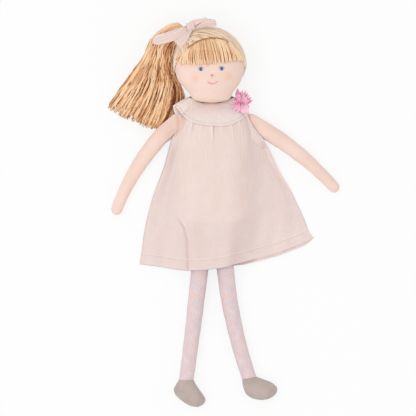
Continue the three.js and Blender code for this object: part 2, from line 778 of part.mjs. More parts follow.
function yokeUnder(x, y) {
  const collar = mix(COLLAR_HEIGHT, wingHeight, smooth(besideNeck(x)));
  return Math.max(torsoFront(x, y), collar) + GAP;
}

function addYokes() {
  const front = (across, down) => {
    const place = yokePoint(mix(...YOKE_SWEEP, across), down);
    return new THREE.Vector3(place.x, place.y, yokeUnder(place.x, place.y));
  };
  addPart("dress_front_yoke", sheet(YOKE_STEPS, DRESS_CLOTH, front), dressLinen);
  const back = (across, down) => {
    const place = yokePoint(mix(...YOKE_SWEEP, across), down);
    const belowNeck = mix(NECK_HEIGHT - NECK_RADIUS, seamHeight, smooth(2 * besideNeck(place.x) - 1));
    const under = Math.min(torsoBack(place.x, place.y), belowNeck) - 1.5 * GAP - DRESS_CLOTH;
    return new THREE.Vector3(place.x, place.y, Math.max(under, 0));
  };
  addPart("dress_back_yoke", sheet(YOKE_STEPS, DRESS_CLOTH, back), dressLinen);
}

// The panel's upper edge, from the right armpit round the yoke to the left armpit
const ARMHOLE_SHARE = 0.14;

function panelTop(across) {
  const side = across < 0.5 ? -1 : 1;
  const fromArmpit = Math.min(across, 1 - across) / ARMHOLE_SHARE;
  if (fromArmpit < 1) {
    const y = torsoTop - ARMPIT_DROP;
    const armpit = new THREE.Vector2(side * (torsoEdge(y) + ARMPIT_REACH), y);
    const end = yokePoint(YOKE_ENDS[side < 0 ? 0 : 1], 1).sub(new THREE.Vector2(0, GAP));
    const edge = armpit.lerp(end, fromArmpit);
    edge.x -= side * ARMHOLE_DEPTH * Math.sin(Math.PI * fromArmpit);
    return edge;
  }
  const share = (across - ARMHOLE_SHARE) / (1 - 2 * ARMHOLE_SHARE);
  return yokePoint(mix(...YOKE_ENDS, share), 1).sub(new THREE.Vector2(0, GAP));
}

// The hem hangs lowest over the right leg and rises to the left corner
function panelHem(across, drop) {
  const lowest = 0.3;
  const rise = HEM_RISE * Math.max(0, (across - lowest) / (1 - lowest)) ** 1.4;
  const dip = HEM_DIP * Math.max(0, (lowest - across) / lowest) ** 2;
  const shown = drop * smooth((across - lowest) / 0.2) * smooth((1 - across) / 0.1);
  return new THREE.Vector2(mix(-HEM_RIGHT, HEM_LEFT, across), hemLow + rise + dip - shown);
}

function panelPlace(across, down, drop) {
  const place = panelTop(across).lerp(panelHem(across, drop), down);
  const bulge = SIDE_BULGE * Math.sin(Math.PI * down) * Math.abs(2 * across - 1) ** 2;
  place.x += across < 0.5 ? -bulge : bulge;
  return place;
}

// The cloth lies on the torso and the legs and falls away to the floor at each side
function drape(x, y) {
  const belly = -TORSO_LENGTH / 8;
  const legTop = torsoFloor + LEG_WIDTH + 2 * GAP;
  const fall = smooth((belly - y) / (belly - hemLow));
  const crest = mix(torsoFront(0, Math.max(y, belly)), legTop + LEG_WIDTH / 6, fall);
  const legReach = HIP_SPACING / 2 + LEG_WIDTH;
  const narrowing = smooth((hipY + 2 * TAB_REACH - y) / (hipY - hemLow));
  const reach = mix(torsoEdge(Math.max(y, belly)), legReach, narrowing);
  const tent = torsoFloor + (crest + GAP - torsoFloor) / (1 + (Math.abs(x) / (1.05 * reach)) ** 5);
  return Math.max(tent, torsoFront(x, y) + 2 * GAP - (torsoSwell(x, y) > 0 ? 0 : seamHeight));
}

function foldRise(across, down) {
  const gathers = Math.cos(4 * Math.PI * FOLDS * across) * smooth(1 - down / 0.35) * 0.5;
  const folds = Math.cos(2 * Math.PI * FOLDS * across) * smooth(down / 0.8);
  return (FOLD_DEPTH * (1.5 + gathers + folds)) / 2;
}

function addDress() {
  const front = (across, down) => {
    const place = panelPlace(across, down, 0);
    const edge = smooth(Math.min(across, 1 - across) / 0.08);
    const closed = mix(1, edge, smooth(down / 0.14));
    const shoulder = wingHeight * smooth(1 - down / 0.14);
    const height = Math.max(drape(place.x, place.y), shoulder) + foldRise(across, down);
    return new THREE.Vector3(place.x, place.y, mix(torsoFloor, height, closed));
  };
  addPart("dress_front_panel", sheet(PANEL_STEPS, DRESS_CLOTH, front), dressLinen);
  const back = (across, down) => {
    const place = panelPlace(across, down, BACK_HEM_DROP);
    return new THREE.Vector3(place.x, place.y, 0);
  };
  addPart("dress_back_panel", sheet([24, 6], DRESS_CLOTH, back), dressLinen);
}

// A ring of petals: a shallow dome with a lobed edge
function petalRing(middle, radius, height) {
  const count = 3 * PETALS;
  const levels = [
    [0.5, 0],
    [1, 0.45],
    [0.92, 0.75],
    [0.5, 1],
  ];
  const rings = levels.map(([share, rise]) =>
    Array.from({ length: count }, (_, k) => {
      const angle = (2 * Math.PI * k) / count;
      const reach = radius * share * (0.92 + 0.08 * Math.cos(PETALS * angle));
      return new THREE.Vector3(reach * Math.cos(angle), reach * Math.sin(angle), rise * height).add(middle);
    }),
  );
  return loft(rings);
}

function addFlower() {
  const middle = new THREE.Vector3(yokeMiddle.x + FLOWER_REACH, yokeMiddle.y - FLOWER_DROP, 0);
  middle.z = yokeUnder(middle.x, middle.y) + DRESS_CLOTH + GAP;
  const backing = new THREE.CylinderGeometry(FLOWER_RADIUS * 0.6, FLOWER_RADIUS * 0.6, DRESS_CLOTH, 18);
  backing.rotateX(Math.PI / 2).translate(middle.x, middle.y, middle.z + DRESS_CLOTH / 2);
  addPart("flower_backing", backing, petalCloth);
  middle.z += DRESS_CLOTH + 2 * GAP;
  addPart("flower_outer_petals", petalRing(middle, FLOWER_RADIUS, PETAL_HEIGHT), petalCloth);
  middle.z += PETAL_HEIGHT + GAP;
  addPart("flower_inner_petals", petalRing(middle, FLOWER_RADIUS * 0.7, PETAL_HEIGHT), petalCloth);
  middle.z += PETAL_HEIGHT + GAP;
  addPart("flower_heart", petalRing(middle, FLOWER_RADIUS * 0.36, PETAL_HEIGHT / 2), petalCloth);
}

addTorso();
addNeck();
addHead();
addFace();
addHair();
addPonytail();
addBow();
for (const [side, name] of [[1, "left"], [-1, "right"]]) {
  addArm(side, name);
  addLeg(side, name);
}
addYokes();
addDress();
addFlower();

export default doll;
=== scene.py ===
import math

import bpy
import numpy as np
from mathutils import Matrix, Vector


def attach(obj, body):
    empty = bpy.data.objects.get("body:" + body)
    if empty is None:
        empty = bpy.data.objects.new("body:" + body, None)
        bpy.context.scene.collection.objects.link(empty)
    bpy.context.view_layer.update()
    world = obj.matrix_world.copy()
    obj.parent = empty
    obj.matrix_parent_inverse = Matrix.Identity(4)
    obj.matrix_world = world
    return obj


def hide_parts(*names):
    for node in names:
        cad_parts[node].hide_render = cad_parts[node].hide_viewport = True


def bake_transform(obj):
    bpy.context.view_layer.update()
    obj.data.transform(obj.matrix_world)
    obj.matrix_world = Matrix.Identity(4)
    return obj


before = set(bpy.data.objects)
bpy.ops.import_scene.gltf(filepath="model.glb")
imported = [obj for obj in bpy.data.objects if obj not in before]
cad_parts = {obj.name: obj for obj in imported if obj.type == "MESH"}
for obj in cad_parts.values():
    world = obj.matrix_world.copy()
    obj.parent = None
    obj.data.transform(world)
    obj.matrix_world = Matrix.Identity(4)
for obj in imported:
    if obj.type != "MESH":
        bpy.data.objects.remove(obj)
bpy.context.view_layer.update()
rng = np.random.default_rng(11)
MM = 0.001
UP = np.array([0, 0, 1.0])

# Sizes shared with the frame, in millimetres
HEAD = np.array([-3.1, 91.0, 27.9])
HEAD_RADII = np.array([31.9, 33.5, 25.0])
NECK = np.array([-1.4, 62.5, 12.0])
TIE = np.array([-30.8, 122.1, 27.9])
TORSO_HALF = (34.0, 53.0)
SEAM = 12.2  # height of the seam round the torso
HIP_Y = -57.0
SHOULDER = (35.18, 39.0)


def srgb(r, g, b):
    """A screen colour as the linear colour that shaders take."""
    c = np.array([r, g, b]) / 255
    c = np.where(c <= 0.04045, c / 12.92, ((c + 0.055) / 1.055) ** 2.4)
    return (*c.tolist(), 1.0)


def smooth(t):
    t = np.clip(t, 0, 1)
    return t * t * (3 - 2 * t)


def bell(gap, width):
    """A hump that is 1 where the gap is 0 and falls off to each side."""
    return np.exp(-((gap / width) ** 2))


def mix(a, b, t):
    return a + (b - a) * t


def unit(v):
    return v / np.maximum(np.linalg.norm(v, axis=-1, keepdims=True), 1e-9)


def times(amounts, way):
    """Vectors of the given amounts along a direction."""
    return np.asarray(amounts)[..., None] * way


def xyz(x, y, z):
    """Points from their coordinates, which spread to one grid."""
    return np.stack(np.broadcast_arrays(x, y, z), -1)


def turns(count, start=0.0):
    """Angles evenly spaced once round."""
    return np.linspace(start, start + 2 * math.pi, count, endpoint=False)


def lengths(points, axis=0):
    """How far along its line each point is, for one line or for the lines of a grid."""
    steps = np.linalg.norm(np.diff(points, axis=axis), axis=-1)
    return np.cumsum(np.insert(steps, 0, 0.0, axis=axis), axis=axis)


def resample(line, run, at):
    """The points of a line at other places along it."""
    return np.stack([np.interp(at, run, column) for column in line.T], -1)


def spline(points, count, closed=False):
    """Evenly spaced points on a smooth line through the given ones."""
    p = np.asarray(points, float)
    if closed:
        p = np.vstack([p[-1:], p, p[:2]])
    else:
        p = np.vstack([2 * p[0] - p[1], p, 2 * p[-1] - p[-2]])
    t = np.linspace(0, 1, 24, endpoint=False)[:, None]
    parts = []
    for a, b, c, d in zip(p, p[1:], p[2:], p[3:]):
        bend = (2 * a - 5 * b + 4 * c - d) * t**2 + (3 * b - a - 3 * c + d) * t**3
        parts.append(0.5 * (2 * b + (c - a) * t + bend))
    line = np.vstack([*parts, p[-2:-1]])
    run = lengths(line)
    return resample(line, run, np.linspace(0, run[-1], count))


# Meshes


def add_object(name, data):
    obj = bpy.data.objects.new(name, data)
    bpy.context.scene.collection.objects.link(obj)
    return obj


def add_mesh(name, points, faces, material, loop_uv=None, **attributes):
    mesh = bpy.data.meshes.new(name)
    mesh.from_pydata((np.asarray(points, float).reshape(-1, 3) * MM).tolist(), [], faces)
    mesh.shade_smooth()
    if loop_uv is not None:
        layer = mesh.uv_layers.new(name="UVMap")
        layer.data.foreach_set("uv", np.asarray(loop_uv, np.float32).ravel())
    for key, values in attributes.items():
        layer = mesh.attributes.new(key, "FLOAT", "POINT")
        layer.data.foreach_set("value", np.asarray(values, np.float32).ravel())
    mesh.materials.append(material)
    return add_object(name, mesh)


def grid_quads(rows, cols, wrap=False):
    r = np.arange(rows - 1)[:, None] * cols
    c = np.arange(cols if wrap else cols - 1)[None, :]
    after = (c + 1) % cols
    return np.stack([r + c, r + after, r + cols + after, r + cols + c], -1).reshape(-1, 4)


def add_tube(name, rings, material, **attributes):
    """A closed skin through rings of points, with texture places in millimetres along and around it."""
    rows, cols = rings.shape[:2]
    middle = rings[rows // 2]
    along, around = lengths(rings.mean(1)), lengths(np.vstack([middle, middle[:1]]))
    places = np.stack(np.meshgrid(along, around, indexing="ij"), -1)
    uv = places.reshape(-1, 2)[grid_quads(rows, cols + 1).ravel()].tolist()
    faces = grid_quads(rows, cols, True).tolist()
    for pole, row in ((rows * cols, 0), (rows * cols + 1, rows - 1)):
        for c in range(cols):
            a, b = row * cols + c, row * cols + (c + 1) % cols
            faces.append([pole, a, b] if row else [pole, b, a])
            uv += [places[row, c].tolist()] * 3
    for key, values in attributes.items():
        values = np.broadcast_to(values, (rows, cols))
        attributes[key] = np.r_[values.ravel(), values[0].mean(), values[-1].mean()]
    points = np.vstack([rings.reshape(-1, 3), rings[0].mean(0), rings[-1].mean(0)])
    return add_mesh(name, points, faces, material, uv, **attributes)


def add_sheet(name, points, material, keep=None, **attributes):
    """A grid of cloth; keep picks the faces of one of its pieces. Normals are the whole sheet's."""
    rows, cols = points.shape[:2]
    quads = grid_quads(rows, cols)
    across = lengths(points, 1)
    across = across - across[:, cols // 2 : cols // 2 + 1]
    uv = np.stack([across, lengths(points)], -1).reshape(-1, 2)
    normal = unit(np.cross(np.gradient(points, axis=1), np.gradient(points, axis=0))).reshape(-1, 3)
    if normal[:, 2].mean() < 0:
        normal = -normal
        quads = quads[:, ::-1]
    if keep is not None:
        quads = quads[keep.ravel()]
    used, faces = np.unique(quads, return_inverse=True)
    faces = faces.reshape(-1, 4).tolist()
    for key, values in attributes.items():
        attributes[key] = np.broadcast_to(values, (rows, cols)).ravel()[used]
    obj = add_mesh(name, points.reshape(-1, 3)[used], faces, material, uv[quads.ravel()], **attributes)
    obj.data.normals_split_custom_set_from_vertices(normal[used].tolist())
    return obj


def add_strands(name, paths, radius, material, tone=0.5, sides=6):
    """Round threads along paths of equal point counts; tone is one shade, or one for each of their points."""
    paths = np.asarray(paths, float)
    count, steps = paths.shape[:2]
    radius = np.broadcast_to(radius, (count, steps))
    along = unit(np.gradient(paths, axis=1))
    side = unit(np.cross(along, np.where(np.abs(along[..., 2:]) > 0.9, [1.0, 0, 0], UP)))
    lift = np.cross(side, along)
    angle = turns(sides)[:, None]
    ring = np.cos(angle) * side[:, :, None] + np.sin(angle) * lift[:, :, None]
    points = paths[:, :, None] + radius[..., None, None] * ring
    # All sides come first and then the ends, whose texture places are all one
    block = grid_quads(steps, sides, True)
    size = steps * sides
    ends = [np.arange(sides)[::-1], np.arange(size - sides, size)]
    faces = [face for k in range(count) for face in (block + k * size).tolist()]
    faces += [(end + k * size).tolist() for k in range(count) for end in ends]
    run = lengths(paths, 1)
    r = np.repeat(np.arange(steps - 1), sides)
    c = np.tile(np.arange(sides), steps - 1)
    uv = np.zeros((count, len(r), 4, 2))
    for corner, (after, beside) in enumerate([(0, 0), (0, 1), (1, 1), (1, 0)]):
        uv[:, :, corner, 0] = run[:, r + after]
        uv[:, :, corner, 1] = (c + beside) / sides
    uv = np.vstack([uv.reshape(-1, 2), np.zeros((count * 2 * sides, 2))])
    shade = np.broadcast_to(tone, (count, steps))
    return add_mesh(name, points, faces, material, uv, tone=np.repeat(shade, sides))


def declare(obj, slot, *nodes, body=None, fill=None):
    """Attaches a piece to its body and hides the solids it stands for; what it is made of, slot, and how
    firmly it is filled, fill, are not used.
    """
    if body:
        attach(obj, body)
    if nodes:
        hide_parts(*nodes)


# Materials


def set_inputs(node, inputs):
    """Gives a shader node what it works on: signals are linked, and values are set."""
    for key, value in inputs.items():
        if isinstance(value, Signal):
            node.id_data.links.new(value.socket, node.inputs[key])
        else:
            node.inputs[key].default_value = value


def add_node(tree, kind, inputs=None, **settings):
    node = tree.nodes.new("ShaderNode" + kind)
    for key, value in settings.items():
        setattr(node, key, value)
    set_inputs(node, inputs or {})
    return node


class Signal:
    """What comes out of a shader node. Arithmetic with signals adds the nodes that do it."""

    def __init__(self, node, output=0):
        self.socket = node.outputs[output]
        self.tree = node.id_data

    def calc(self, operation, *others):
        return Signal(add_node(self.tree, "Math", dict(enumerate((self, *others))), operation=operation))

    def __add__(self, other):
        return self.calc("ADD", other)

    def __sub__(self, other):
        return self.calc("SUBTRACT", other)

    def __mul__(self, other):
        return self.calc("MULTIPLY", other)

    def vector(self, operation, other, output=0):
        return Signal(add_node(self.tree, "VectorMath", {0: self, 1: other}, operation=operation), output)

    def split(self):
        """The first two parts of a place."""
        parts = add_node(self.tree, "SeparateXYZ", {0: self})
        return Signal(parts, 0), Signal(parts, 1)

    def ramp(self, low, high):
        """A soft step from 0 to 1 between two values."""
        inputs = {0: self, 1: low, 2: high}
        return Signal(add_node(self.tree, "MapRange", inputs, interpolation_type="SMOOTHSTEP"))

    def blend(self, a, b):
        """One colour where the signal is 0, and the other where it is 1."""
        return Signal(add_node(self.tree, "Mix", {0: self, 6: a, 7: b}, data_type="RGBA"), 2)


class Cloth:
    """A new fabric, with texture places in millimetres on the body, where, and on the piece, uv."""

    def __init__(self, name, roughness, sheen):
        self.made = bpy.data.materials.new(name)
        self.made.use_nodes = True
        self.tree = self.made.node_tree
        self.shader = self.tree.nodes["Principled BSDF"]
        set_inputs(self.shader, {"Roughness": roughness, "Specular IOR Level": 0.15})
        set_inputs(self.shader, {"Sheen Weight": sheen, "Sheen Roughness": 0.6})
        place = add_node(self.tree, "TexCoord")
        self.where = Signal(place, "Object").vector("MULTIPLY", (1 / MM,) * 3)
        self.uv = Signal(place, "UV")

    def attribute(self, name):
        return Signal(add_node(self.tree, "Attribute", attribute_name=name), "Fac")

    def dye(self, share, low, high):
        """The ground colour, from one screen colour to another."""
        self.colour = share.blend(srgb(*low), srgb(*high))

    def tint(self, share, *colour):
        self.colour = share.blend(self.colour, srgb(*colour))

    def finish(self, height, depth, strength):
        """Gives the shader its colour and a relief of a depth in millimetres."""
        inputs = {"Height": height, "Distance": depth * MM, "Strength": strength}
        relief = Signal(add_node(self.tree, "Bump", inputs))
        set_inputs(self.shader, {"Base Color": self.colour, "Normal": relief})
        return self.made


def noise(where, scale, detail=2.0, stretch=(1, 1, 1), output="Fac"):
    inputs = {"Vector": where.vector("MULTIPLY", stretch), "Scale": scale, "Detail": detail}
    return Signal(add_node(where.tree, "TexNoise", inputs), output)


def weave(where, pitch, wobble):
    """Over-and-under threads, 0 to 1, with uneven spacing."""
    shift = noise(where, 0.35, output="Color").vector("MULTIPLY", (4 * wobble,) * 3)
    warp, weft = ((part * (2 * math.pi / pitch)).calc("SINE") for part in where.vector("ADD", shift).split())
    return warp * weft * 0.5 + 0.5


def plies(uv, pitch):
    """The two plies of a thread, 0 to 1, wound once round it in each pitch."""
    along, around = uv.split()
    return ((along * (1 / pitch) + around) * (4 * math.pi)).calc("SINE") * 0.5 + 0.5


def skin_cloth(name, cheeks=()):
    cloth = Cloth(name, 0.92, 0.1)
    knit = weave(cloth.where, 0.85, 0.1)
    cloth.dye(noise(cloth.where, 0.045, 3).ramp(0.3, 0.75), (240, 209, 195), (245, 217, 204))
    cloth.tint(knit * 0.25, 250, 226, 214)
    for middle, radius in cheeks:
        gap = cloth.where.vector("DISTANCE", middle, "Value")
        cloth.tint(gap.ramp(radius, 0.0) * 0.46, 245, 180, 150)
    # Painted shade where the crease attribute is set: on the neck under the chin and where each arm meets the
    # torso
    cloth.tint(cloth.attribute("crease"), 214, 150, 124)
    return cloth.finish(knit + noise(cloth.where, 0.9) * 0.8, 0.12, 0.6)


STITCH_LENGTH = 2.4


def dress_linen(name, bare, backed):
    cloth = Cloth(name, 0.95, 0.1)
    thread = weave(cloth.uv, 0.55, 0.15)
    warp = noise(cloth.uv, 1.7, 3, (1.0, 0.05, 1))
    weft = noise(cloth.uv, 1.7, 3, (0.05, 1.0, 1))
    slub = warp * 0.6 + weft * 0.4
    # The cloth is thin: it is warmer where the torso is behind it, and greyer where nothing is
    cloth.dye(cloth.attribute("lining"), bare, backed)
    cloth.tint(noise(cloth.uv, 0.04, 3).ramp(0.35, 0.7) * 0.35, 244, 227, 221)
    cloth.tint(slub.ramp(0.55, 0.35) * 0.42, 226, 199, 190)
    cloth.tint(thread * 0.22, 252, 240, 235)
    # Painted shade in the folds where crease is above 0, and painted light on their ridges where it is below
    # 0
    crease = cloth.attribute("crease")
    cloth.tint(crease, 206, 171, 160)
    cloth.tint(crease * -1, 252, 240, 236)
    # Stitches lie along the edge, with painted shade in a groove at them and a painted highlight on the swell
    # of cloth beside it
    edge = cloth.attribute("edge")
    cloth.tint(edge.calc("COMPARE", 0.55, 0.45) * 0.35, 252, 241, 238)
    groove = edge.calc("COMPARE", -0.25, 0.35)
    along, _ = cloth.uv.split()
    stitch = groove * (along * (1 / STITCH_LENGTH)).calc("FRACT").calc("GREATER_THAN", 0.25)
    cloth.tint(groove * 0.45, 216, 182, 172)
    cloth.tint(stitch * 0.4, 246, 228, 222)
    return cloth.finish(thread + slub * 1.6 + stitch * 2.0, 0.14, 0.6)


PRINT_PITCH = (3.6, 2.8)  # the stockings' print repeats along and around the leg


def stocking_cloth():
    cloth = Cloth("stocking_cloth", 0.9, 0.12)
    along, around = (part * (1 / pitch) for part, pitch in zip(cloth.uv.split(), PRINT_PITCH))
    # Two sets of slanting lines cross in a lattice, with a dot in each diamond
    slants = [(slant.calc("FRACT") - 0.5).calc("ABSOLUTE") for slant in (along + around, along - around)]
    nearest = slants[0].calc("MINIMUM", slants[1])
    worn = noise(cloth.uv, 0.16, 3).ramp(0.36, 0.66)
    cloth.dye(noise(cloth.uv, 0.12, 3).ramp(0.34, 0.66), (220, 205, 213), (232, 211, 212))
    cloth.tint(nearest.ramp(0.15, 0.05) * (worn * 0.75 + 0.25) * 0.8, 218, 166, 154)
    dot = worn.blend(srgb(204, 190, 202), srgb(252, 242, 240))
    cloth.colour = (nearest.ramp(0.36, 0.44) * 0.7).blend(cloth.colour, dot)
    thread = weave(cloth.uv, 0.7, 0.1)
    cloth.tint(thread * 0.15, 248, 240, 240)
    return cloth.finish(thread, 0.12, 0.6)


def shoe_felt():
    cloth = Cloth("shoe_felt", 1.0, 0.25)
    nap = noise(cloth.where, 1.6, 4)
    cloth.dye(noise(cloth.where, 0.09, 3).ramp(0.3, 0.7), (171, 156, 147), (187, 172, 164))
    cloth.tint(nap.ramp(0.3, 0.75) * 0.5, 199, 185, 177)
    cloth.tint(cloth.attribute("seam").ramp(0.55, 0.95) * 0.6, 138, 122, 114)
    return cloth.finish(nap, 0.25, 0.5)


def yarn(name, dark, middle, light):
    cloth = Cloth(name, 0.8, 0.15)
    ply = plies(cloth.uv, 2.2)
    wisp = noise(cloth.where, 0.25, 3)
    level = cloth.attribute("tone") + (wisp - 0.5) * 0.5 + (ply - 0.5) * 0.16
    cloth.dye(level.ramp(0.05, 0.5), dark, middle)
    cloth.tint(level.ramp(0.45, 0.95), *light)
    return cloth.finish(ply, 0.15, 0.7)


def ribbon():
    cloth = Cloth("ribbon", 0.85, 0.15)
    thread = weave(cloth.uv, 0.6, 0.1)
    slub = noise(cloth.uv, 0.7, 3, (1, 0.08, 1))
    cloth.dye(slub.ramp(0.3, 0.7), (225, 199, 191), (240, 218, 211))
    cloth.tint(thread * 0.25, 246, 227, 220)
    return cloth.finish(thread + slub, 0.12, 0.6)


def petal_cloth():
    cloth = Cloth("petal_cloth", 0.85, 0.2)
    level = cloth.attribute("tone") + (noise(cloth.where, 0.3) - 0.5) * 0.4
    cloth.dye(level.ramp(0.0, 0.55), (206, 104, 146), (236, 160, 192))
    cloth.tint(level.ramp(0.5, 1.0), 250, 206, 224)
    return cloth.finish(weave(cloth.where, 0.6, 0.1), 0.1, 0.5)


def thread_material(name, dark, light):
    cloth = Cloth(name, 0.6, 0.1)
    ply = plies(cloth.uv, 0.9)
    cloth.dye(ply, dark, light)
    return cloth.finish(ply, 0.08, 0.5)


def filling_material():
    cloth = Cloth("filling", 1.0, 0.2)
    fibre = noise(cloth.where, 0.8, 5, (1, 3, 1))
    cloth.dye(fibre, (228, 224, 215), (250, 248, 243))
    return cloth.finish(fibre, 0.5, 0.6)


# The stage: camera, light and floor

PIXEL = 0.92  # millimetres of the doll for one pixel of the picture
PIXEL_HEIGHT = 15  # the height at which that holds
PICTURE = 416  # pixels on each side of the picture
ORIGIN = (213, 165)  # the pixel that the frame's origin is in
CAMERA_HEIGHT = 3500
SENSOR = 36
WHITE = (1, 1, 1, 1)
FLOOR_Z, FLOOR_REACH = -0.4, 12000


def show_white(shader, kind, output, share):
    """What the camera sees, also by glass or a mirror, has a share of white; other light meets no white."""
    tree = shader.id_data
    white = add_node(tree, kind, {"Color": WHITE, "Strength": 1.0})
    path = add_node(tree, "LightPath")
    seen, glass, mirror = (Signal(path, f"Is {ray} Ray") for ray in ("Camera", "Transmission", "Glossy"))
    seen = seen.calc("MAXIMUM", glass).calc("MAXIMUM", mirror) * share
    both = add_node(tree, "MixShader", {0: seen, 1: Signal(shader), 2: Signal(white)})
    set_inputs(tree.nodes[output], {0: Signal(both)})


def add_stage():
    scene = bpy.context.scene
    data = bpy.data.cameras.new("camera")
    data.sensor_width = SENSOR
    data.lens = SENSOR * (CAMERA_HEIGHT - PIXEL_HEIGHT) / (PIXEL * PICTURE)
    data.clip_end = 50
    scene.camera = add_object("camera", data)
    right, up = PICTURE / 2 - ORIGIN[0], ORIGIN[1] - PICTURE / 2
    scene.camera.location = Vector((right * PIXEL, up * PIXEL, CAMERA_HEIGHT)) * MM

    key = bpy.data.lights.new("key", "AREA")
    key.shape = "DISK"
    key.size = 1.4
    key.energy = 11
    lamp = add_object("key", key)
    lamp.location = (-0.5, -0.1, 1.8)
    lamp.rotation_euler = (-lamp.location).to_track_quat("-Z", "Y").to_euler()
    lamp.visible_camera = False

    scene.world = bpy.data.worlds.new("studio")
    scene.world.use_nodes = True
    light = scene.world.node_tree.nodes["Background"]
    set_inputs(light, {"Color": WHITE, "Strength": 0.78})
    show_white(light, "Background", "World Output", 1.0)

    made = bpy.data.materials.new("floor")
    made.use_nodes = True
    shader = made.node_tree.nodes["Principled BSDF"]
    set_inputs(shader, {"Base Color": (0.9, 0.9, 0.9, 1), "Roughness": 1.0, "Specular IOR Level": 0.0})
    # The floor keeps some of the doll's shadow
    show_white(shader, "Emission", "Material Output", 0.8)
    corners = [(FLOOR_REACH * x, FLOOR_REACH * y, FLOOR_Z) for x, y in ((-1, -1), (1, -1), (1, 1), (-1, 1))]
    add_mesh("floor", corners, [[0, 1, 2, 3]], made)


# Head and face

# Half the head's width at places below its middle, both as shares of its radii: straight jaw, flat chin
JAW = [
    (0, 1), (0.22, 0.976), (0.45, 0.88), (0.6, 0.757), (0.72, 0.65), (0.86, 0.575), (0.915, 0.53),
    (0.958, 0.44), (0.985, 0.32), (1.004, 0.16), (1.012, 0),
]
CHIN_SHIFT = 1.35  # the chin is a little towards the doll's left
EYES = {"left_eye": (7.8, 87.5), "right_eye": (-11.0, 87.0)}
NOSE = (-0.9, 81.3)
NOSE_MARKS = [(-0.9, 0.0), (-0.3, 0.0), (0.3, 0.0), (0.9, 0.0), (0.0, -1.9)]
MOUTH = ((-4.7, 75.3), (3.7, 75.7), 1.8)  # its two ends, and how far it dips between them
MOUTH_STITCHES = 8
STITCH = np.linspace(-1, 1, 7)  # places along one stitch
CHEEKS = [(-16.9, 78.2), (14.4, 80.6)]
CHEEK_RADIUS = 6.6


def head_width(along):
    """Half the head's width at a place along it, both as shares of its radii."""
    jaw = spline(JAW, 300)
    crown = np.sqrt(np.maximum(0, 1 - along**2))
    return np.where(along > 0, crown, np.interp(-along, jaw[:, 0], jaw[:, 1]))


def head_point(x, y, lift=0.0):
    """The head's front at a place seen from above, lifted along its normal."""
    across = (np.asarray(x, float) - HEAD[0]) / HEAD_RADII[0]
    along = (np.asarray(y, float) - HEAD[1]) / HEAD_RADII[1]
    depth = np.sqrt(np.maximum(0, head_width(along) ** 2 - across**2))
    on = xyz(across, along, depth)
    return HEAD + on * HEAD_RADII + times(lift, unit(on / HEAD_RADII))


def add_head(material):
    crown = np.linspace(math.pi / 2, 0, 60)[1:]
    crown = np.stack([np.sin(crown), np.cos(crown)], -1)
    outline = spline(np.vstack([crown, spline(JAW, 300)[1:-1] * [-1, 1]]), 90)
    turn = turns(128)
    along, width = outline[:, :1], outline[:, 1:]
    # Small pleats gather the cloth round the neck, and the stuffing is not quite even
    near = smooth((-along - 0.8) / 0.18)
    swell = width * (1 - 0.025 * near * (1 + np.cos(20 * turn)) * (np.sin(turn) < 0.2))
    swell = swell * (1 + 0.006 * np.sin(3 * turn + 2) * np.sin(5 * along + 1))
    points = HEAD + HEAD_RADII * xyz(swell * np.cos(turn), along, swell * np.sin(turn))
    points[..., 0] += CHIN_SHIFT * smooth((-along - 0.3) / 0.6)
    points[..., 2] = np.maximum(points[..., 2], HEAD[2] - HEAD_RADII[2] + 0.6)
    # Under the chin the cloth is drawn in to the neck, clear of the yoke when the head nods
    below = smooth((HEAD[2] - 3 - points[..., 2]) / 10) * smooth((-along - 0.5) / 0.35)
    points[..., 1] += 3.4 * below
    obj = add_tube("head", points, material)
    declare(obj, "skin_cloth", "head_cloth", "head_stuffing", body="head", fill=0.95)


def add_neck(material):
    turn = turns(32)
    share = np.linspace(0, 1, 14)[:, None]
    radius = mix(8.0, 5.8, smooth(share * 1.6)) * (1 + 0.03 * np.cos(9 * turn))
    x = NECK[0] + radius * np.cos(turn)
    z = mix(SEAM, NECK[2], share) + 0.9 * radius * np.sin(turn)
    # Painted shade: the neck is darker all over, for it shows only in the gap under the chin
    obj = add_tube("neck_roll", xyz(x, mix(51.5, 70, share), z), material, crease=0.7)
    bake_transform(obj)
    declare(obj, "skin_cloth", "neck", fill=0.9)


def satin(half_width, half_height, middle, pitch, lift):
    """Stitches side by side that fill an oval on the face."""
    paths = []
    rise = lift + 0.22 * np.sqrt(np.maximum(0, 1 - STITCH**2))
    for x in np.arange(-half_width + pitch / 2, half_width, pitch):
        reach = half_height * math.sqrt(max(0.0, 1 - (x / half_width) ** 2)) + 0.1
        paths.append(head_point(middle[0] + x + 0 * STITCH, middle[1] + reach * STITCH, rise))
    return paths


def add_face(threads):
    for name, (x, y) in EYES.items():
        lash = [head_point(x + 2.6 * STITCH, y + 1.5 - 0.9 * STITCH**2, 0.28)]
        layers = [
            ("white", satin(2.5, 1.6, (x, y), 0.42, 0.05), 0.24, "white"),
            ("iris", satin(1.7, 1.75, (x, y), 0.36, 0.2), 0.22, "blue"),
            ("pupil", satin(0.85, 0.9, (x, y - 0.3), 0.32, 0.36), 0.2, "navy"),
            ("lash", lash, 0.15, "slate"),
        ]
        for part, paths, radius, colour in layers:
            obj = add_strands(f"{name}_{part}", paths, radius, threads[colour])
            declare(obj, "eye_thread", *([name] if part == "iris" else []), body="head")

    marks = []
    for lean, drop in NOSE_MARKS:
        marks.append(head_point(NOSE[0] + lean + 0.15 * STITCH, NOSE[1] + drop + 0.6 * STITCH, 0.2))
    nose = add_strands("nose_stitches", marks, 0.3, threads["rose"])
    declare(nose, "lip_thread", "nose", body="head")

    marks = []
    (x0, y0), (x1, y1), dip = MOUTH
    for k in range(MOUTH_STITCHES):
        s = np.linspace(k / MOUTH_STITCHES - 0.02, (k + 1) / MOUTH_STITCHES + 0.04, len(STITCH))
        y = mix(y0, y1, s) - dip * (1 - (2 * s - 1) ** 2)
        marks.append(head_point(mix(x0, x1, s), y + 0.12 * STITCH, 0.2))
    mouth = add_strands("mouth_stitches", marks, 0.4, threads["lip"])
    declare(mouth, "lip_thread", "mouth", body="head")


# Hair

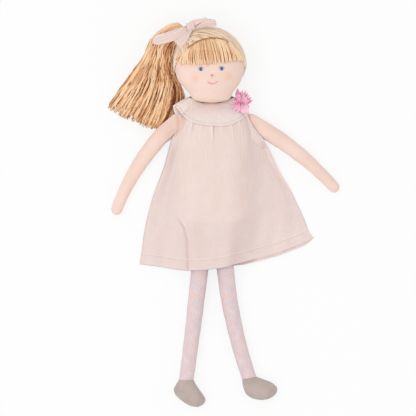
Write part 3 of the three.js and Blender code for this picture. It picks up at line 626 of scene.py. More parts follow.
# Left and right in the names of the hair's lines are as seen from the front
HAIR_RADII = HEAD_RADII + 0.5
PARTING = [
    (-25.6, 102.4), (-21.2, 106.4), (-12, 111.8), (-2.8, 114.0), (4.6, 114.0), (11, 112.4), (13.2, 110.0),
]
RIGHT_HAIRLINE = [(15.8, 106.4), (19.6, 100.6), (24, 97), (27.6, 95.2), (28.8, 91.5)]
NAPE = [(28.2, 86), (25, 80), (18, 75), (8, 71.5), (-4, 70.5), (-18, 73), (-29, 79.5), (-33.8, 86)]
LEFT_HAIRLINE = [(-34.4, 92), (-33.6, 97), (-30.4, 100.6)]
FRINGE_EDGE = [
    (-34, 95.5), (-30.5, 92.4), (-25, 90.6), (-17.5, 90.4), (-11, 90.6), (-3, 91.2), (4, 91.6), (12, 92.8),
    (20, 93.8), (25.4, 94.4), (28.4, 95.2),
]
HAIR_STRANDS = 400
FRINGE_UNDER, FRINGE_TOP = 70, 54  # strands in the two layers of the fringe
TIE_WAY = unit(np.array([math.cos(math.radians(132)), math.sin(math.radians(132)), 0.16]))


def over_head(x, y, front=1.0):
    """The direction on a unit ball of a place on the hair."""
    on = np.array([(x - HEAD[0]) / HAIR_RADII[0], (y - HEAD[1]) / HAIR_RADII[1]])
    on = on / max(np.hypot(*on), 1.0)
    return np.array([*on, front * math.sqrt(max(0.0, 1 - on @ on))])


def on_hair(direction, lift):
    direction = unit(direction)
    return HEAD + direction * HAIR_RADII + times(lift, unit(direction / HAIR_RADII))


def arc(a, b, t):
    """Points from one direction to another round the ball."""
    angle = math.acos(float(np.clip(a @ b, -1, 1)))
    t = t[:, None]
    return (np.sin((1 - t) * angle) * a + np.sin(t * angle) * b) / max(math.sin(angle), 1e-6)


def hairline():
    """The closed line that the combed hair starts from: parting, right side, nape and left side."""
    line = []
    for places, front in ((PARTING, 1), (RIGHT_HAIRLINE, 1), (NAPE, -1), (LEFT_HAIRLINE, 1)):
        line += [over_head(x, y, front) for x, y in places]
    line = unit(spline(line, 1601, closed=True))
    # Strands from the far side of the head fan out round the tie, so there they start closer together
    side = unit(np.cross(TIE_WAY, UP))
    turn = np.unwrap(np.arctan2(line @ np.cross(side, TIE_WAY), line @ side))
    run = lengths(line) + np.r_[0, np.cumsum(np.abs(np.diff(turn)))]
    return unit(resample(line, run, np.linspace(0, run[-1], HAIR_STRANDS + 1)[:-1]))


def add_hair(material, under):
    line = hairline()
    t = np.linspace(-0.03, 1, 26)
    paths, tones = [], []
    for start in line:
        end = unit(TIE_WAY + rng.normal(0, 0.06, 3))
        way = arc(unit(start + rng.normal(0, 0.006, 3)), end, t)
        rise = rng.uniform(0.0, 0.9) + 2.4 * np.maximum(t, 0) ** 3 - 0.5 * smooth(-t / 0.03)
        rise = rise + 0.15 * np.sin(t * rng.uniform(9, 15) + rng.uniform(0, 6))
        paths.append(on_hair(way, rise))
        # Painted light: the hair is lighter round the rim of the head
        rim = 0.4 * smooth(1 - np.abs(unit(way)[:, 2]) / 0.5)
        tones.append(np.clip(rng.normal(0.64, 0.3) + rim, 0.0, 1.0))
    cap = add_strands("hair_strands", paths, 0.6, material, tones)
    declare(cap, "yarn", "hair_cap", body="head")

    # Painted shade: a base of shaded yarn under the strands, which shows in the gaps between them
    rows = np.linspace(0, 0.97, 18)
    rings = np.stack([on_hair(arc(start, TIE_WAY, rows), 0.2) for start in line], 1)
    declare(add_tube("hair_base", rings, under, tone=0.8), "yarn", body="head")


def add_fringe(material):
    top = spline([(-29.6, 99.8), *PARTING, (16.8, 107.6)], 200)
    low = spline(FRINGE_EDGE, 200)
    shares = np.linspace(0, 1, 200)
    t = np.linspace(-0.06, 1, 18)
    paths, tones = [], []

    def strand(start, end, drop, lift, tone):
        first, last = resample(top, shares, start), resample(low, shares, end)
        way = arc(over_head(*first), over_head(last[0], last[1] - drop), t)
        rise = 0.1 + lift * np.sin(math.pi * np.clip(0.12 + 0.8 * t, 0, 1)) + 0.3 * lift * t
        sway = 0.3 * np.sin(t * rng.uniform(4, 9) + rng.uniform(0, 6)) * t
        paths.append(on_hair(way, rise) + times(sway, [1.0, 0, 0]))
        # The ends catch the light, and so does the hair at both sides
        lit = 0.3 * smooth((t - 0.72) / 0.28) + 0.35 * (2 * start - 1) ** 2
        tones.append(np.clip(tone + lit, 0, 1))

    # The under layer is painted darker, as shade beneath the top layer
    for k in range(FRINGE_UNDER):
        share = (k + 0.5) / FRINGE_UNDER
        strand(share, share + rng.normal(0, 0.005), rng.uniform(-2.8, -0.6), 0.35, rng.uniform(-0.3, 0.15))
    # The top layer hangs in tufts of three that draw together at their ends
    for k in range(FRINGE_TOP):
        share = (k + rng.uniform(0.3, 0.7)) / FRINGE_TOP
        tuft = (k // 3 + 0.5) * 3 / FRINGE_TOP
        end = mix(share, tuft, 0.2) + rng.normal(0, 0.003)
        strand(share, end, rng.normal(0, 0.5), 1.1 + rng.normal(0, 0.25), rng.normal(0.7, 0.2))
    thick = np.interp(t, [0, 0.85, 1], [0.62, 0.62, 0.46])
    fringe = add_strands("fringe_strands", paths, thick, material, tones)
    declare(fringe, "yarn", "fringe", body="head")


def add_parting(material):
    line = spline(PARTING, 81)
    marks = []
    slant = np.linspace(-0.1, 0.7, 5)
    rise = np.array([1.0, 1.6, 1.8, 1.7, 1.2])
    for k in range(8, 80, 4):
        stitch = [over_head(x, y + up) for (x, y), up in zip(line[k : k + 5], slant)]
        marks.append(on_hair(np.array(stitch), rise))
    obj = add_strands("parting_stitches", marks, 0.5, material)
    declare(obj, "parting_thread", "parting_stitch", body="head")


TAIL_LEFT = [
    (-27, 126), (-32, 129.8), (-39, 128.8), (-47, 123.8), (-54.2, 118), (-58.8, 110.5), (-64.2, 99.4),
    (-71.6, 88), (-80.6, 76), (-89.4, 63.5), (-96.2, 52.6),
]
TAIL_RIGHT = [
    (-30, 118.5), (-32, 113), (-35, 106), (-36.5, 98), (-36.5, 90), (-34.5, 81), (-30, 73), (-27.2, 66),
    (-28.5, 59), (-33, 50), (-38.5, 43),
]
TAIL_MIDDLE = [27.9, 28, 25, 18, 10, 5.6, 4.4]
TAIL_HALF = [5, 6.5, 8.5, 9, 7, 4.4, 3.4]
TAIL_STATIONS = [0, 0.1, 0.25, 0.45, 0.7, 0.9, 1]
TAIL_LOWEST = 0.9  # the strands stay on the floor
# Hollows between the locks, which sink and are painted darker as shade: place down the tail, place across it,
# their sizes and their depth
HOLLOWS = [
    (0.22, 0.34, 0.12, 0.2, 0.7), (0.56, 0.02, 0.1, 0.13, 0.6), (0.6, 0.68, 0.16, 0.14, 0.7),
    (0.8, 0.1, 0.14, 0.06, 0.4), (0.68, -0.42, 0.1, 0.06, 0.4), (0.85, 0.75, 0.2, 0.2, 0.4),
    (0.4, -0.6, 0.12, 0.04, 0.3), (0.42, 0.55, 0.1, 0.25, 0.35),
]
# Loose locks that cross the others: where each comes out from under them, and places down and across
LOOSE = [
    (0.34, [(0, 0.5), (0.32, 0.66), (0.43, 0.32), (0.52, 0.08), (0.7, 0.0), (1, 0.02)]),
    (0.42, [(0, 0.4), (0.4, 0.9), (0.53, 0.6), (0.64, 0.36), (0.8, 0.32), (1, 0.36)]),
    (0.48, [(0, 0.45), (0.46, 0.62), (0.57, 0.32), (0.68, 0.18), (1, 0.22)]),
    (0.3, [(0, 0.6), (0.3, 0.86), (0.46, 0.9), (0.57, 0.66), (0.7, 0.52), (1, 0.56)]),
    (0.05, [(0, -0.1), (0.3, -0.14), (0.6, -0.16), (1, -0.24)]),
    (0.5, [(0, -0.3), (0.48, -0.3), (0.58, -0.5), (0.75, -0.56), (1, -0.58)]),
]
# Layers of strands from front to back: place, tone, with painted shade on the layers under the top one, and
# number
TAIL_LAYERS = [(0.92, 0.7, 60), (0.74, 0.34, 60), (0.4, 0.24, 40), (-0.8, 0.5, 50)]
SIDE_STRANDS = 30  # more of them along both sides


def add_ponytail(material, under):
    steps = 44
    s = np.linspace(0, 1, steps)
    left, right = spline(TAIL_LEFT, steps), spline(TAIL_RIGHT, steps)

    def tail_point(fall, at, b):
        """A place in the tail: down it, across it from -1 to 1, and from the back, -1, to the front."""
        xy = mix(resample(left, s, fall), resample(right, s, fall), ((at + 1) / 2)[..., None])
        over = np.maximum(0, fall - 1) * 90
        drop = mix(8.5, 12.5, smooth((at + 0.2) / 0.6)) * np.maximum(0, 1 - ((at - 0.12) / 1.12) ** 2)
        xy[..., 1] -= drop * smooth((fall - 0.5) / 0.5) + over
        xy[..., 0] -= 0.4 * over
        hollow = sum(deep * bell(fall - p, h) * bell(at - a, w) for p, a, h, w, deep in HOLLOWS)
        swell = np.sqrt(np.maximum(0.12, 1 - 0.85 * at**2))
        middle, half = (np.interp(fall, TAIL_STATIONS, heights) for heights in (TAIL_MIDDLE, TAIL_HALF))
        z = middle + half * b * swell
        z = z - 9 * smooth((at - 0.35) / 0.6) * smooth(fall / 0.2) * smooth((1 - fall) / 0.4)
        z = np.maximum(z - 3.5 * hollow * smooth(b), TAIL_LOWEST)
        return np.concatenate([xy, z[..., None]], -1), hollow

    paths, tones = [], []

    def strand(at, b, tone, reach=1.0):
        phase = rng.uniform(0, 6.3, 4)
        rate = rng.uniform(12, 20)
        grow = smooth(s * 5)
        point, hollow = tail_point(s * reach, np.clip(at, -1.02, 1.02), b)
        point[:, 0] += grow * (0.55 * np.sin(s * rate + phase[0]) + 0.35 * np.sin(2.7 * s * rate + phase[1]))
        point[:, 2] += grow * 0.5 * np.sin(1.3 * s * rate + phase[2])
        point[:, 2] = np.maximum(point[:, 2], TAIL_LOWEST)
        paths.append(point)
        # Painted light towards the edge along TAIL_LEFT and near the tie, and painted shade in the hollows
        # between the locks
        lit = 0.2 * smooth((-at - 0.4) / 0.4) + 0.12 * smooth(1 - s / 0.25)
        tones.append(np.clip(tone + lit - 0.85 * hollow + 0.12 * np.sin(s * rate + phase[3]), 0, 1))

    for b, shade, count in TAIL_LAYERS:
        for k in range(count):
            across = -0.99 + 1.98 * (k + rng.uniform(0.2, 0.8)) / count + rng.normal(0, 0.045) * smooth(s)
            tone = shade + rng.normal(0, 0.24)
            strand(across, b + rng.normal(0, 0.1), tone, min(1.01, 0.985 + rng.normal(0, 0.022)))
    for k in range(SIDE_STRANDS):
        across = (1 if k % 2 else -1) * rng.uniform(0.88, 1.0) + 0 * s
        strand(across, rng.uniform(-0.6, 0.7), rng.normal(0.55, 0.2), 0.98)
    for out, line in LOOSE:
        way = spline(line, 80)
        front = mix(0.5, 1.06, smooth((s - out) / 0.24))
        for beside in (-0.02, 0.02):
            across = np.interp(s, way[:, 0], way[:, 1]) + beside * mix(1, rng.uniform(-1.5, 2.0), s)
            strand(across, front + rng.uniform(0, 0.08), rng.uniform(0.7, 1.05), 0.99 + rng.normal(0, 0.015))
    thick = np.interp(s, [0, 0.06, 0.9, 1], [0.48, 0.66, 0.66, 0.48])
    tail = add_strands("ponytail_strands", paths, thick, material, tones)
    declare(tail, "yarn", "ponytail", body="ponytail")

    # Painted shade: a core of shaded yarn inside the tail, which shows in the gaps between the strands
    turn = turns(48)
    fall = np.linspace(0.02, 0.93, 40)[:, None] + 0 * turn
    core, _ = tail_point(fall, 0.9 * np.cos(turn) + 0 * fall, 0.62 * np.sin(turn))
    declare(add_tube("ponytail_core", core, under, tone=0.45), "yarn", body="ponytail")


def add_hair_tie(material):
    way = unit(np.array([-0.88, -0.47, 0.0]))
    across = np.cross(UP, way)
    turn = np.linspace(0, 2 * math.pi, 40)
    ring = times(np.cos(turn), across) + times(np.sin(turn), UP)
    wraps = []
    for k in range(3):
        wraps.append(TIE + way * (2.0 + 1.3 * (k - 1)) + times(6.3 + 0.25 * np.sin(3 * turn + k), ring))
    tie = add_strands("hair_tie_wraps", wraps, 0.75, material, sides=8)
    declare(tie, "ribbon", "hair_tie", body="ponytail")


# Bow

KNOT = np.array([-20.6, 126.4, 40.4])
LOOP_END = np.array([-55.4, 112.8, 34.6])
# The loop on the doll's left is folded in three: the lower and the upper edge of each fold, from the knot to
# its end, and its height over the first
LEFT_FOLD = [(-18.6, 124.2), (-13.0, 126.6), (-6.0, 128.6), (2.2, 128.8)]
LEFT_LOOP = [
    ([(-18.6, 122.6), (-13.7, 124.6), (-9.8, 125.6), (-3.3, 126.9), (1.9, 126.5)], LEFT_FOLD, 0.0),
    (LEFT_FOLD, [(-18.4, 127.4), (-12.8, 130.6), (-6.0, 132.7), (1.0, 132.4)], 0.7),
    ([(-18.2, 124.8), (-12.4, 128.6), (-8.6, 131.2), (-4.9, 132.8)],
     [(-21.0, 131.0), (-16.6, 132.9), (-11.1, 133.3), (-7.2, 134.4)], 2.2),
]
LEFT_HEIGHT, LEFT_UNDER = 39.6, 36.4


def add_ribbon(name, points, material, node):
    """A ribbon sheet through the given points, attached to the head; it hides the solid it stands for."""
    obj = add_sheet(name, points, material)
    declare(obj, "ribbon", node, body="head")


def add_right_loop(material):
    """On the doll's right the ribbon leaves the knot, turns back at the loop's end and returns underneath."""
    start = KNOT + [-1.5, -0.8, 0.4]
    size = np.linalg.norm(LOOP_END - start)
    way = (LOOP_END - start) / size
    across = unit(np.cross(UP, way))
    fold, width, crown = 1.5, 9.6, 2.4
    t = np.linspace(0, 1, 34)
    over = np.stack([t * (size - fold), crown * np.sin(math.pi * t**0.8) + fold * smooth(t / 0.2)], -1)
    turn = np.linspace(math.pi / 2, -math.pi / 2, 14)[1:-1]
    tip = np.stack([size - fold + fold * np.cos(turn), fold * np.sin(turn)], -1)
    under = np.stack([t * (size - fold), -fold * smooth(t / 0.2)], -1)[::-1]
    path = np.vstack([over, tip, under])
    share = path[:, :1] / size
    spread = np.interp(share, [0, 0.2, 0.5, 0.8, 0.93, 1], [0.5, 0.82, 0.98, 1.0, 0.97, 0.8])
    v = np.linspace(-1, 1, 25)
    pleats = np.interp(share, [0, 0.5, 1], [0.7, 0.25, 0.0]) * np.cos(3 * math.pi * v)
    rise = path[:, 1:] + pleats - 0.9 * share * v**2 + 0.35 * np.sin(5 * share + 2 * v)
    bend = 1.9 * np.sin(math.pi * share**0.8)
    reach = path[:, :1] + (1.2 * v - 3.0 * np.abs(v) ** 2.5) * smooth((share - 0.6) / 0.4)
    points = start + times(reach, way) + times(spread * v * width / 2 + bend, across)
    points += times(rise, np.cross(way, across))
    add_ribbon("bow_loop_right", points, material, "bow_right_loop")


def add_left_loop(material):
    rows, cols = 30, 7
    share = np.linspace(0, 1, rows)[:, None]
    v = np.linspace(0, 1, cols)
    strips = []
    for low, high, step in LEFT_LOOP:
        place = mix(spline(low, rows)[:, None], spline(high, rows)[:, None], v[:, None])
        z = LEFT_HEIGHT + step * (1 - 0.45 * share)
        z = z + 0.5 * np.sin(math.pi * v) + 0.8 * np.sin(math.pi * share)
        strips.append(xyz(place[..., 0], place[..., 1], z))
    top = np.concatenate(strips, 1)
    # The end turns down and the ribbon returns underneath to the knot
    drop = np.array([0.7, 1.8, 3.0])[:, None]
    turn = top[-1:] + xyz(0.9 * np.sin(drop), 0, -drop)
    under = top[::-1][2::3].copy()
    under[..., 2] = mix(under[..., 2], LEFT_UNDER, 0.9)
    add_ribbon("bow_loop_left", np.vstack([top, turn, under]), material, "bow_left_loop")


def add_tail(material):
    path = [KNOT + [0.6, -1.2, 1.2], (-25.2, 118.6, 42.6), (-29.8, 114.0, 41.4), (-33.4, 110.4, 39.4)]
    path = spline(path, 28)
    ways = unit(np.gradient(path, axis=0))
    sides = unit(np.cross(UP, ways))
    share = np.linspace(0, 1, 28)[:, None]
    v = np.linspace(-1, 1, 19)
    half = mix(2.6, 5.6, smooth(share * 1.3)) * v
    slant = 0.3 * v * smooth((share - 0.5) / 0.5)
    points = path[:, None] + times(half, sides[:, None]) + times(slant, ways[:, None])
    points[..., 2] += mix(0.7, 0.12, share) * np.cos(2.5 * math.pi * v) - 0.5 * v**2
    add_ribbon("bow_tail_end", points, material, "bow_tail")


def add_bow(material):
    v = np.linspace(-1, 1, 25)
    turn = np.linspace(0, 2 * math.pi, 41)[:, None]
    way = unit(np.array([0.94, 0.34, 0.0]))
    radius = 3.2 + 0.4 * v**2 + 0.16 * np.cos(4 * math.pi * v)
    points = KNOT + times(3.5 * v, way) + times(1.15 * radius * np.cos(turn), np.cross(UP, way))
    points += times(0.9 * radius * np.sin(turn), UP)
    add_ribbon("bow_wrap", points, material, "bow_knot")
    add_right_loop(material)
    add_left_loop(material)
    add_tail(material)


# Limbs

ARM_LENGTH, ARM_WIDTHS, ARM_TIP = 102.0, (20.5, 15.6, 10.8), 5.4
ARM_SAG = 1.7  # how far the arm's root is from its joint, towards the feet
LEG_LENGTH, LEG_WIDTHS = 144.5, (15, 16.4, 14.0)
LEG_ROOTS = {1: (9.2, -89.3, -70.6), -1: (-8.3, -95.5, -97.8)}  # place, and heading at each end
LEG_X = 8.3  # how far a leg is from the middle, about
SEAM_THICKNESS = 2.6


def limb_line(root, headings, length, at):
    """Points down the middle of a limb that bends evenly from one heading to another."""
    a, b = np.radians(headings)
    radius = length / (b - a)
    turn = mix(a, b, at / length)
    x = root[0] + radius * (np.sin(turn) - math.sin(a))
    y = root[1] - radius * (np.cos(turn) - math.cos(a))
    return np.stack([x, y], -1), turn


def limb_rings(root, headings, length, seam, widths, floor, inward, tip=0.0, sag=0.0):
    """Sections of a stuffed limb: a flat seam at the root, a full round middle and a narrower end."""
    seam_width, full, end_width = widths
    straight = length - tip
    at = np.r_[np.linspace(0, 0.3, 24)[:-1], np.linspace(0.3, 1, 44)] * straight
    shrink = np.ones(len(at))
    if tip:
        rise = np.linspace(0, math.pi / 2, 12)[1:-1]
        at = np.r_[at, straight + tip * np.sin(rise)]
        shrink = np.r_[shrink, np.cos(rise)]
    share = at / length
    place, turn = limb_line(root, headings, length, at)
    place[:, 1] -= sag * (1 - smooth(share / 0.2))
    square = xyz(-np.sin(turn), np.cos(turn), 0)
    cross = unit(mix(np.array(seam), square, smooth(share / 0.25)[:, None]))
    body = mix(full, end_width, smooth((share - 0.2) / 0.8))
    width = mix(seam_width, body, smooth(share / 0.2)) * shrink
    depth = mix(SEAM_THICKNESS, 0.96 * body, smooth(share / 0.2)) * shrink
    ground = floor(at)
    height = mix(SEAM, ground + 0.48 * body - 0.3, smooth(share / 0.34))
    angle = turns(48, -math.pi / 2)
    # Stuffing is a little uneven, the seam along each side is drawn in, and the sewn end puckers
    down = share[:, None]
    lump = 0.018 * np.sin(down * 23 + 2 * np.sin(angle)) * np.cos(angle - 1) + 0.012 * np.sin(down * 51)
    groove = 0.05 * bell(np.abs(np.cos(angle)) - 1, 0.0008**0.5)
    pucker = 0.10 * np.cos(9 * angle) * np.exp(-down * 18) * smooth(down * 40)
    swell = (1 + lump) * (1 - groove) * (1 + pucker)
    points = xyz(*place.T, height)[:, None]
    points = points + times(swell * np.cos(angle) * width[:, None] / 2, cross[:, None])
    points += times(swell * np.sin(angle) * depth[:, None] / 2, UP)
    points[..., 2] = np.maximum(points[..., 2], ground[:, None] + 0.05)
    # The flat end goes on into the torso's seam
    tab = np.array([8.0, 6.5, 5.0, 4.0, 3.0, 2.0, 1.0])
    return np.concatenate([points[0] - np.array(inward) * tab[:, None, None], points])


def add_arm(side, name, droops, material):
    x, y = SHOULDER
    headings = [-a if side > 0 else 180 + a for a in droops]
    rings = limb_rings(
        (side * (x + 0.4), y), headings, ARM_LENGTH, (0, side, 0), ARM_WIDTHS, np.zeros_like, (side, 0, 0),
        ARM_TIP, ARM_SAG)
    # Painted shade: a soft darker line along the seam that closes the arm at the shoulder, where it meets the
    # torso
    seam_x = np.interp(rings[..., 1], [36, 42, 47], [32.2, 32.6, 33.9])
    crease = 0.4 * bell(np.abs(rings[..., 0]) - seam_x, 1.1)
    obj = add_tube(f"{name}_arm", rings, material, crease=crease)
    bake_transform(obj)
    solids = [f"{name}_arm_cloth", f"{name}_arm_stuffing", f"{name}_shoulder_tab"]
    declare(obj, "skin_cloth", *solids, fill=0.85)


def leg_floor(at):
    """The back of the leg lies on the dress, and past the hem on the floor."""
    return 1.2 * (1 - smooth((at - 51) / 15.8))


def add_leg(side, name, material):
    x, *headings = LEG_ROOTS[side]
    root = (x, HIP_Y - 0.4)
    rings = limb_rings(root, headings, LEG_LENGTH, (1, 0, 0), LEG_WIDTHS, leg_floor, (0, -1, 0))
    obj = add_tube(f"{name}_leg", rings, material)
    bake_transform(obj)
    solids = [f"{name}_leg_cloth", f"{name}_leg_stuffing", f"{name}_hip_tab"]
    declare(obj, "stocking_cloth", *solids, fill=0.85)


# Each shoe's outline from the ankle to the sole, down its heel side and down its toe side
SHOES = {
    -1: (
        [(-31.6, -198.0), (-33.6, -202), (-35.8, -206.4), (-34.2, -211.8), (-28.5, -217.2), (-21.2, -221.8),
         (-15.4, -223)],
        [(-17.8, -198.0), (-16.2, -202), (-13.2, -206.6), (-10, -211.2), (-7.2, -216.2), (-9, -220.4),
         (-13.4, -223)],
    ),
    1: (
        [(26.8, -197.4), (27.6, -202), (28.8, -206.4), (31, -211.0), (35.2, -214.4), (40, -216.0),
         (44, -216.6)],
        [(39.6, -195.0), (46.4, -197.6), (53.6, -200.6), (58.6, -205.4), (57.6, -211), (52, -215.2),
         (46, -216.6)],
    ),
}
SHOE_MIDDLE = 7.1  # height of the seam round the shoe


def add_shoe(side, name, material):
    steps, sides = 48, 64
    heel, toe = (spline(points, steps) for points in SHOES[side])
    middle, half = (heel + toe) / 2, (toe - heel) / 2
    wide = np.linalg.norm(half, axis=1)
    share = np.linspace(0, 1, steps)
    deep = mix(6.6, 7.4, smooth(share / 0.3)) * np.minimum(1, wide / 7.0) ** 0.7
    angle = turns(sides, -math.pi / 2)
    cos, sin = np.cos(angle), np.sin(angle)
    # The two halves meet in a raised seam all round the foot
    ridge = bell(np.abs(cos) - 1, 0.0006**0.5) * smooth(share / 0.1)[:, None]
    low = bell(share - 1, 0.0012**0.5)[:, None]
    points = np.zeros((steps, sides, 3))
    points[..., :2] = middle[:, None] + times((1 + 0.03 * ridge) * cos, half[:, None])
    points[..., 2] = SHOE_MIDDLE + np.sign(sin) * np.abs(sin) ** 0.85 * deep[:, None]
    points[..., 2] = np.maximum(points[..., 2], 0.05)
    obj = add_tube(f"{name}_shoe", points, material, seam=np.maximum(ridge, low))
    solids = [f"{name}_shoe_cloth", f"{name}_shoe_stuffing"]
    declare(obj, "shoe_felt", *solids, body=f"{name}_leg", fill=0.8)


# Torso and dress

TORSO_RISE = 19.0  # front of the torso above its seam
TORSO_SINK = 10.4
CLOTH_GAP = 0.8  # between the torso and the cloth on it


def torso_swell(x, y):
    """How much of the torso's height is left at a place: 1 in the middle and 0 outside."""
    across = (np.abs(x) / (TORSO_HALF[0] + CLOTH_GAP)) ** 4
    along = (np.abs(y) / (TORSO_HALF[1] + CLOTH_GAP)) ** 4
    return np.sqrt(np.maximum(0, 1 - np.sqrt(across + along)))


def torso_front(x, y):
    return SEAM + TORSO_RISE * torso_swell(x, y)


def torso_edge(y):
    return TORSO_HALF[0] * (1 - np.minimum(np.abs(y) / TORSO_HALF[1], 1) ** 4) ** 0.25


def add_torso(material):
    angle = turns(96)
    rise = np.linspace(-math.pi / 2, math.pi / 2, 42)[1:-1, None]
    square = [np.sign(part) * np.abs(part) ** 0.5 for part in (np.cos(angle), np.sin(angle))]
    x, y = (part * (half - 0.4) * np.cos(rise) for part, half in zip(square, TORSO_HALF))
    z = SEAM + np.where(rise > 0, TORSO_RISE - 0.4, TORSO_SINK) * np.sin(rise)
    obj = add_tube("torso_body", xyz(x, y, z), material)
    solids = ["torso_front_cloth", "torso_back_cloth", "torso_stuffing"]
    declare(obj, "skin_cloth", *solids, body="torso", fill=0.85)


YOKE_EDGE = [
    (-37.0, 54.6), (-33.6, 52.6), (-29.6, 47.6), (-25.3, 43.0), (-19.5, 39.5), (-10.7, 36.9), (-0.1, 35.8),
    (9.8, 35.8), (16.8, 37.0), (24.5, 40.6), (30.0, 44.6), (32.2, 47.6), (32.4, 52.6),
]
BACK_YOKE_EDGE = [
    (-37.0, 54.6), (-36.2, 50.6), (-34.4, 46.6), (-30, 41.5), (-24, 38), (-10.7, 36.5), (0, 36),
    (9.8, 36), (18, 37), (25, 39.5), (30, 42.6), (32.6, 46.6), (32.6, 52.6),
]
NECKLINE = [
    (-23.8, 62.6), (-20.4, 61.6), (-18, 60.2), (-15, 58.7), (-10, 57.2), (-5, 56.6), (0, 56.6), (5, 57.0),
    (10, 58.2), (14, 59.6), (16.6, 60.9), (18.6, 61.8), (21, 62.6),
]
BACK_NECK_RISE = 6.0  # the neckline is higher at the back
COLLAR_HEIGHT = 17.6
WING_HEIGHT = 14.6
YOKE_STITCHES = 2.6  # from the yoke's lower edge to its row of stitches
YOKE_ROWS, YOKE_COLUMNS = 34, 140


def away(place, line):
    """How far each place of a grid is from the place of a line in its own column."""
    return np.linalg.norm(place - line, axis=2)


def add_yokes(material):
    share = np.linspace(0, 1, YOKE_ROWS)[:, None]
    edge, neckline = spline(YOKE_EDGE, YOKE_COLUMNS), spline(NECKLINE, YOKE_COLUMNS)
    place = mix(neckline, edge, share[..., None])
    drop = away(place, edge)
    x, y = place[..., 0], place[..., 1]
    # It is drawn tight from the neckline to its lower edge, clear of the torso between them
    high = mix(COLLAR_HEIGHT, WING_HEIGHT, smooth(np.abs(x[:1] - NECK[0]) / 20))
    low = np.maximum(torso_front(x[-1:], y[-1:]) + 1.0, WING_HEIGHT)
    tight = mix(high, low, share) + 0.8 * np.sin(math.pi * share)
    body = torso_front(x, y) + CLOTH_GAP
    z = (tight + body + np.sqrt((tight - body) ** 2 + 3)) / 2
    # The lower edge is turned under and topstitched, so it is thick, with a shallow groove at the stitches
    thick = 0.5 * smooth((4.0 - drop) / 1.5) + 0.8 * np.sqrt(np.clip(drop / 0.7, 0, 1))
    groove = 0.35 * bell(drop - YOKE_STITCHES, 0.5)
    z = z + thick - groove + 0.12 * np.sin(0.6 * x + 0.9 * y) * share
    # Both ends turn down to the shoulder seam
    fold = np.linspace(0, 1, YOKE_COLUMNS)
    fold = np.minimum(fold, 1 - fold)
    z = z - 1.4 * smooth(1 - fold / 0.05)
    # Painted shade along the neckline, under the chin
    neck = 0.5 * smooth((1.8 - away(place, neckline)) / 1.4) * smooth((fold - 0.1) / 0.1)
    points = xyz(x, y, z)
    obj = add_sheet("yoke_front", points, material, edge=drop - YOKE_STITCHES, lining=0.8, crease=neck)
    declare(obj, "dress_linen", "dress_front_yoke", body="torso")

    # The back yoke joins the front one along each shoulder, and goes behind the arm to the doll's back
    edge = spline(BACK_YOKE_EDGE, YOKE_COLUMNS)
    neckline = neckline + times(BACK_NECK_RISE * smooth(fold / 0.2), [0, 1])
    place = mix(neckline, edge, share[..., None])
    x, y = place[..., 0], place[..., 1]
    behind = np.maximum(SEAM - 11 * torso_swell(x, np.minimum(y, 46)) - 1.2, 0.6)
    behind = mix(behind, 5.0, smooth((y - 48) / 10))
    ends = np.where(np.arange(YOKE_COLUMNS) < YOKE_COLUMNS // 2, z[:, :1], z[:, -1:])
    points = xyz(x, y, mix(behind, ends, smooth(1 - fold / 0.2)))
    drop = away(place, edge)
    # Painted shade on the back yoke towards its neckline, where it shows in the gap beside the jaw
    inside = 0.6 * smooth((14 - away(place, neckline)) / 8)
    obj = add_sheet("yoke_back", points, material, edge=drop - YOKE_STITCHES, lining=0.8, crease=inside)
    declare(obj, "dress_linen", "dress_back_yoke", body="torso")


# Left and right in the names of the dress's edges are as seen from the front
WAIST_Y = -50.0
LEFT_ARMHOLE = [(-38.2, 23.8), (-36.0, 27.0), (-29.8, 34.0), (-25.8, 41.0), (-24.4, 43.6)]
RIGHT_ARMHOLE = [(32.0, 46.6), (32.6, 44.4), (36.2, 36.8), (42.4, 28.6), (45.0, 26.4)]
LEFT_SIDE = [(-38.2, 23.8), (-41.0, 12), (-45.1, -2.8), (-50.4, -16.5), (-55.2, -29.4), (-60.8, WAIST_Y)]
RIGHT_SIDE = [(45.0, 26.4), (51.5, 14.7), (59.8, -2.8), (65.2, -12.6), (70.8, -22.1), (84.0, WAIST_Y)]
LEFT_SKIRT = [(-60.8, WAIST_Y), (-63.4, -64), (-65.2, -77), (-67.2, -91.1)]
RIGHT_SKIRT = [(84.0, WAIST_Y), (87.0, -58.4), (89.8, -63.4), (92.8, -66.6)]
HEM = [
    (-67.2, -91.1), (-58, -92.2), (-48.8, -93.4), (-32.2, -96.1), (-21.2, -96.8), (-3.7, -95.9), (12, -93.6),
    (19.3, -91.6), (35.9, -87.4), (57, -82), (71.8, -76.6), (85.6, -71), (92.8, -66.6),
]
HEM_LOW = -96.7
HEM_TURN = 9.2  # depth of the hem, down from its stitches
ARMHOLE_STITCHES = 2.4  # from the armhole to its row of stitches
OVER_LEGS = 20.4  # height of the cloth over the legs
COLUMNS, BODICE_ROWS, SKIRT_ROWS = 201, 96, 50
CENTRE, INNER_RIGHT, INNER_LEFT = 84, 67, 101  # columns over the middle and over each leg


def coons(top, bottom, left, right):
    """A patch of cloth whose four edges are given."""
    a = np.linspace(0, 1, len(top))[:, None]
    d = np.linspace(0, 1, len(left))[:, None, None]
    corners = mix(mix(top[0], top[-1], a), mix(bottom[0], bottom[-1], a), d)
    return mix(top, bottom, d) + mix(left[:, None], right[:, None], a) - corners


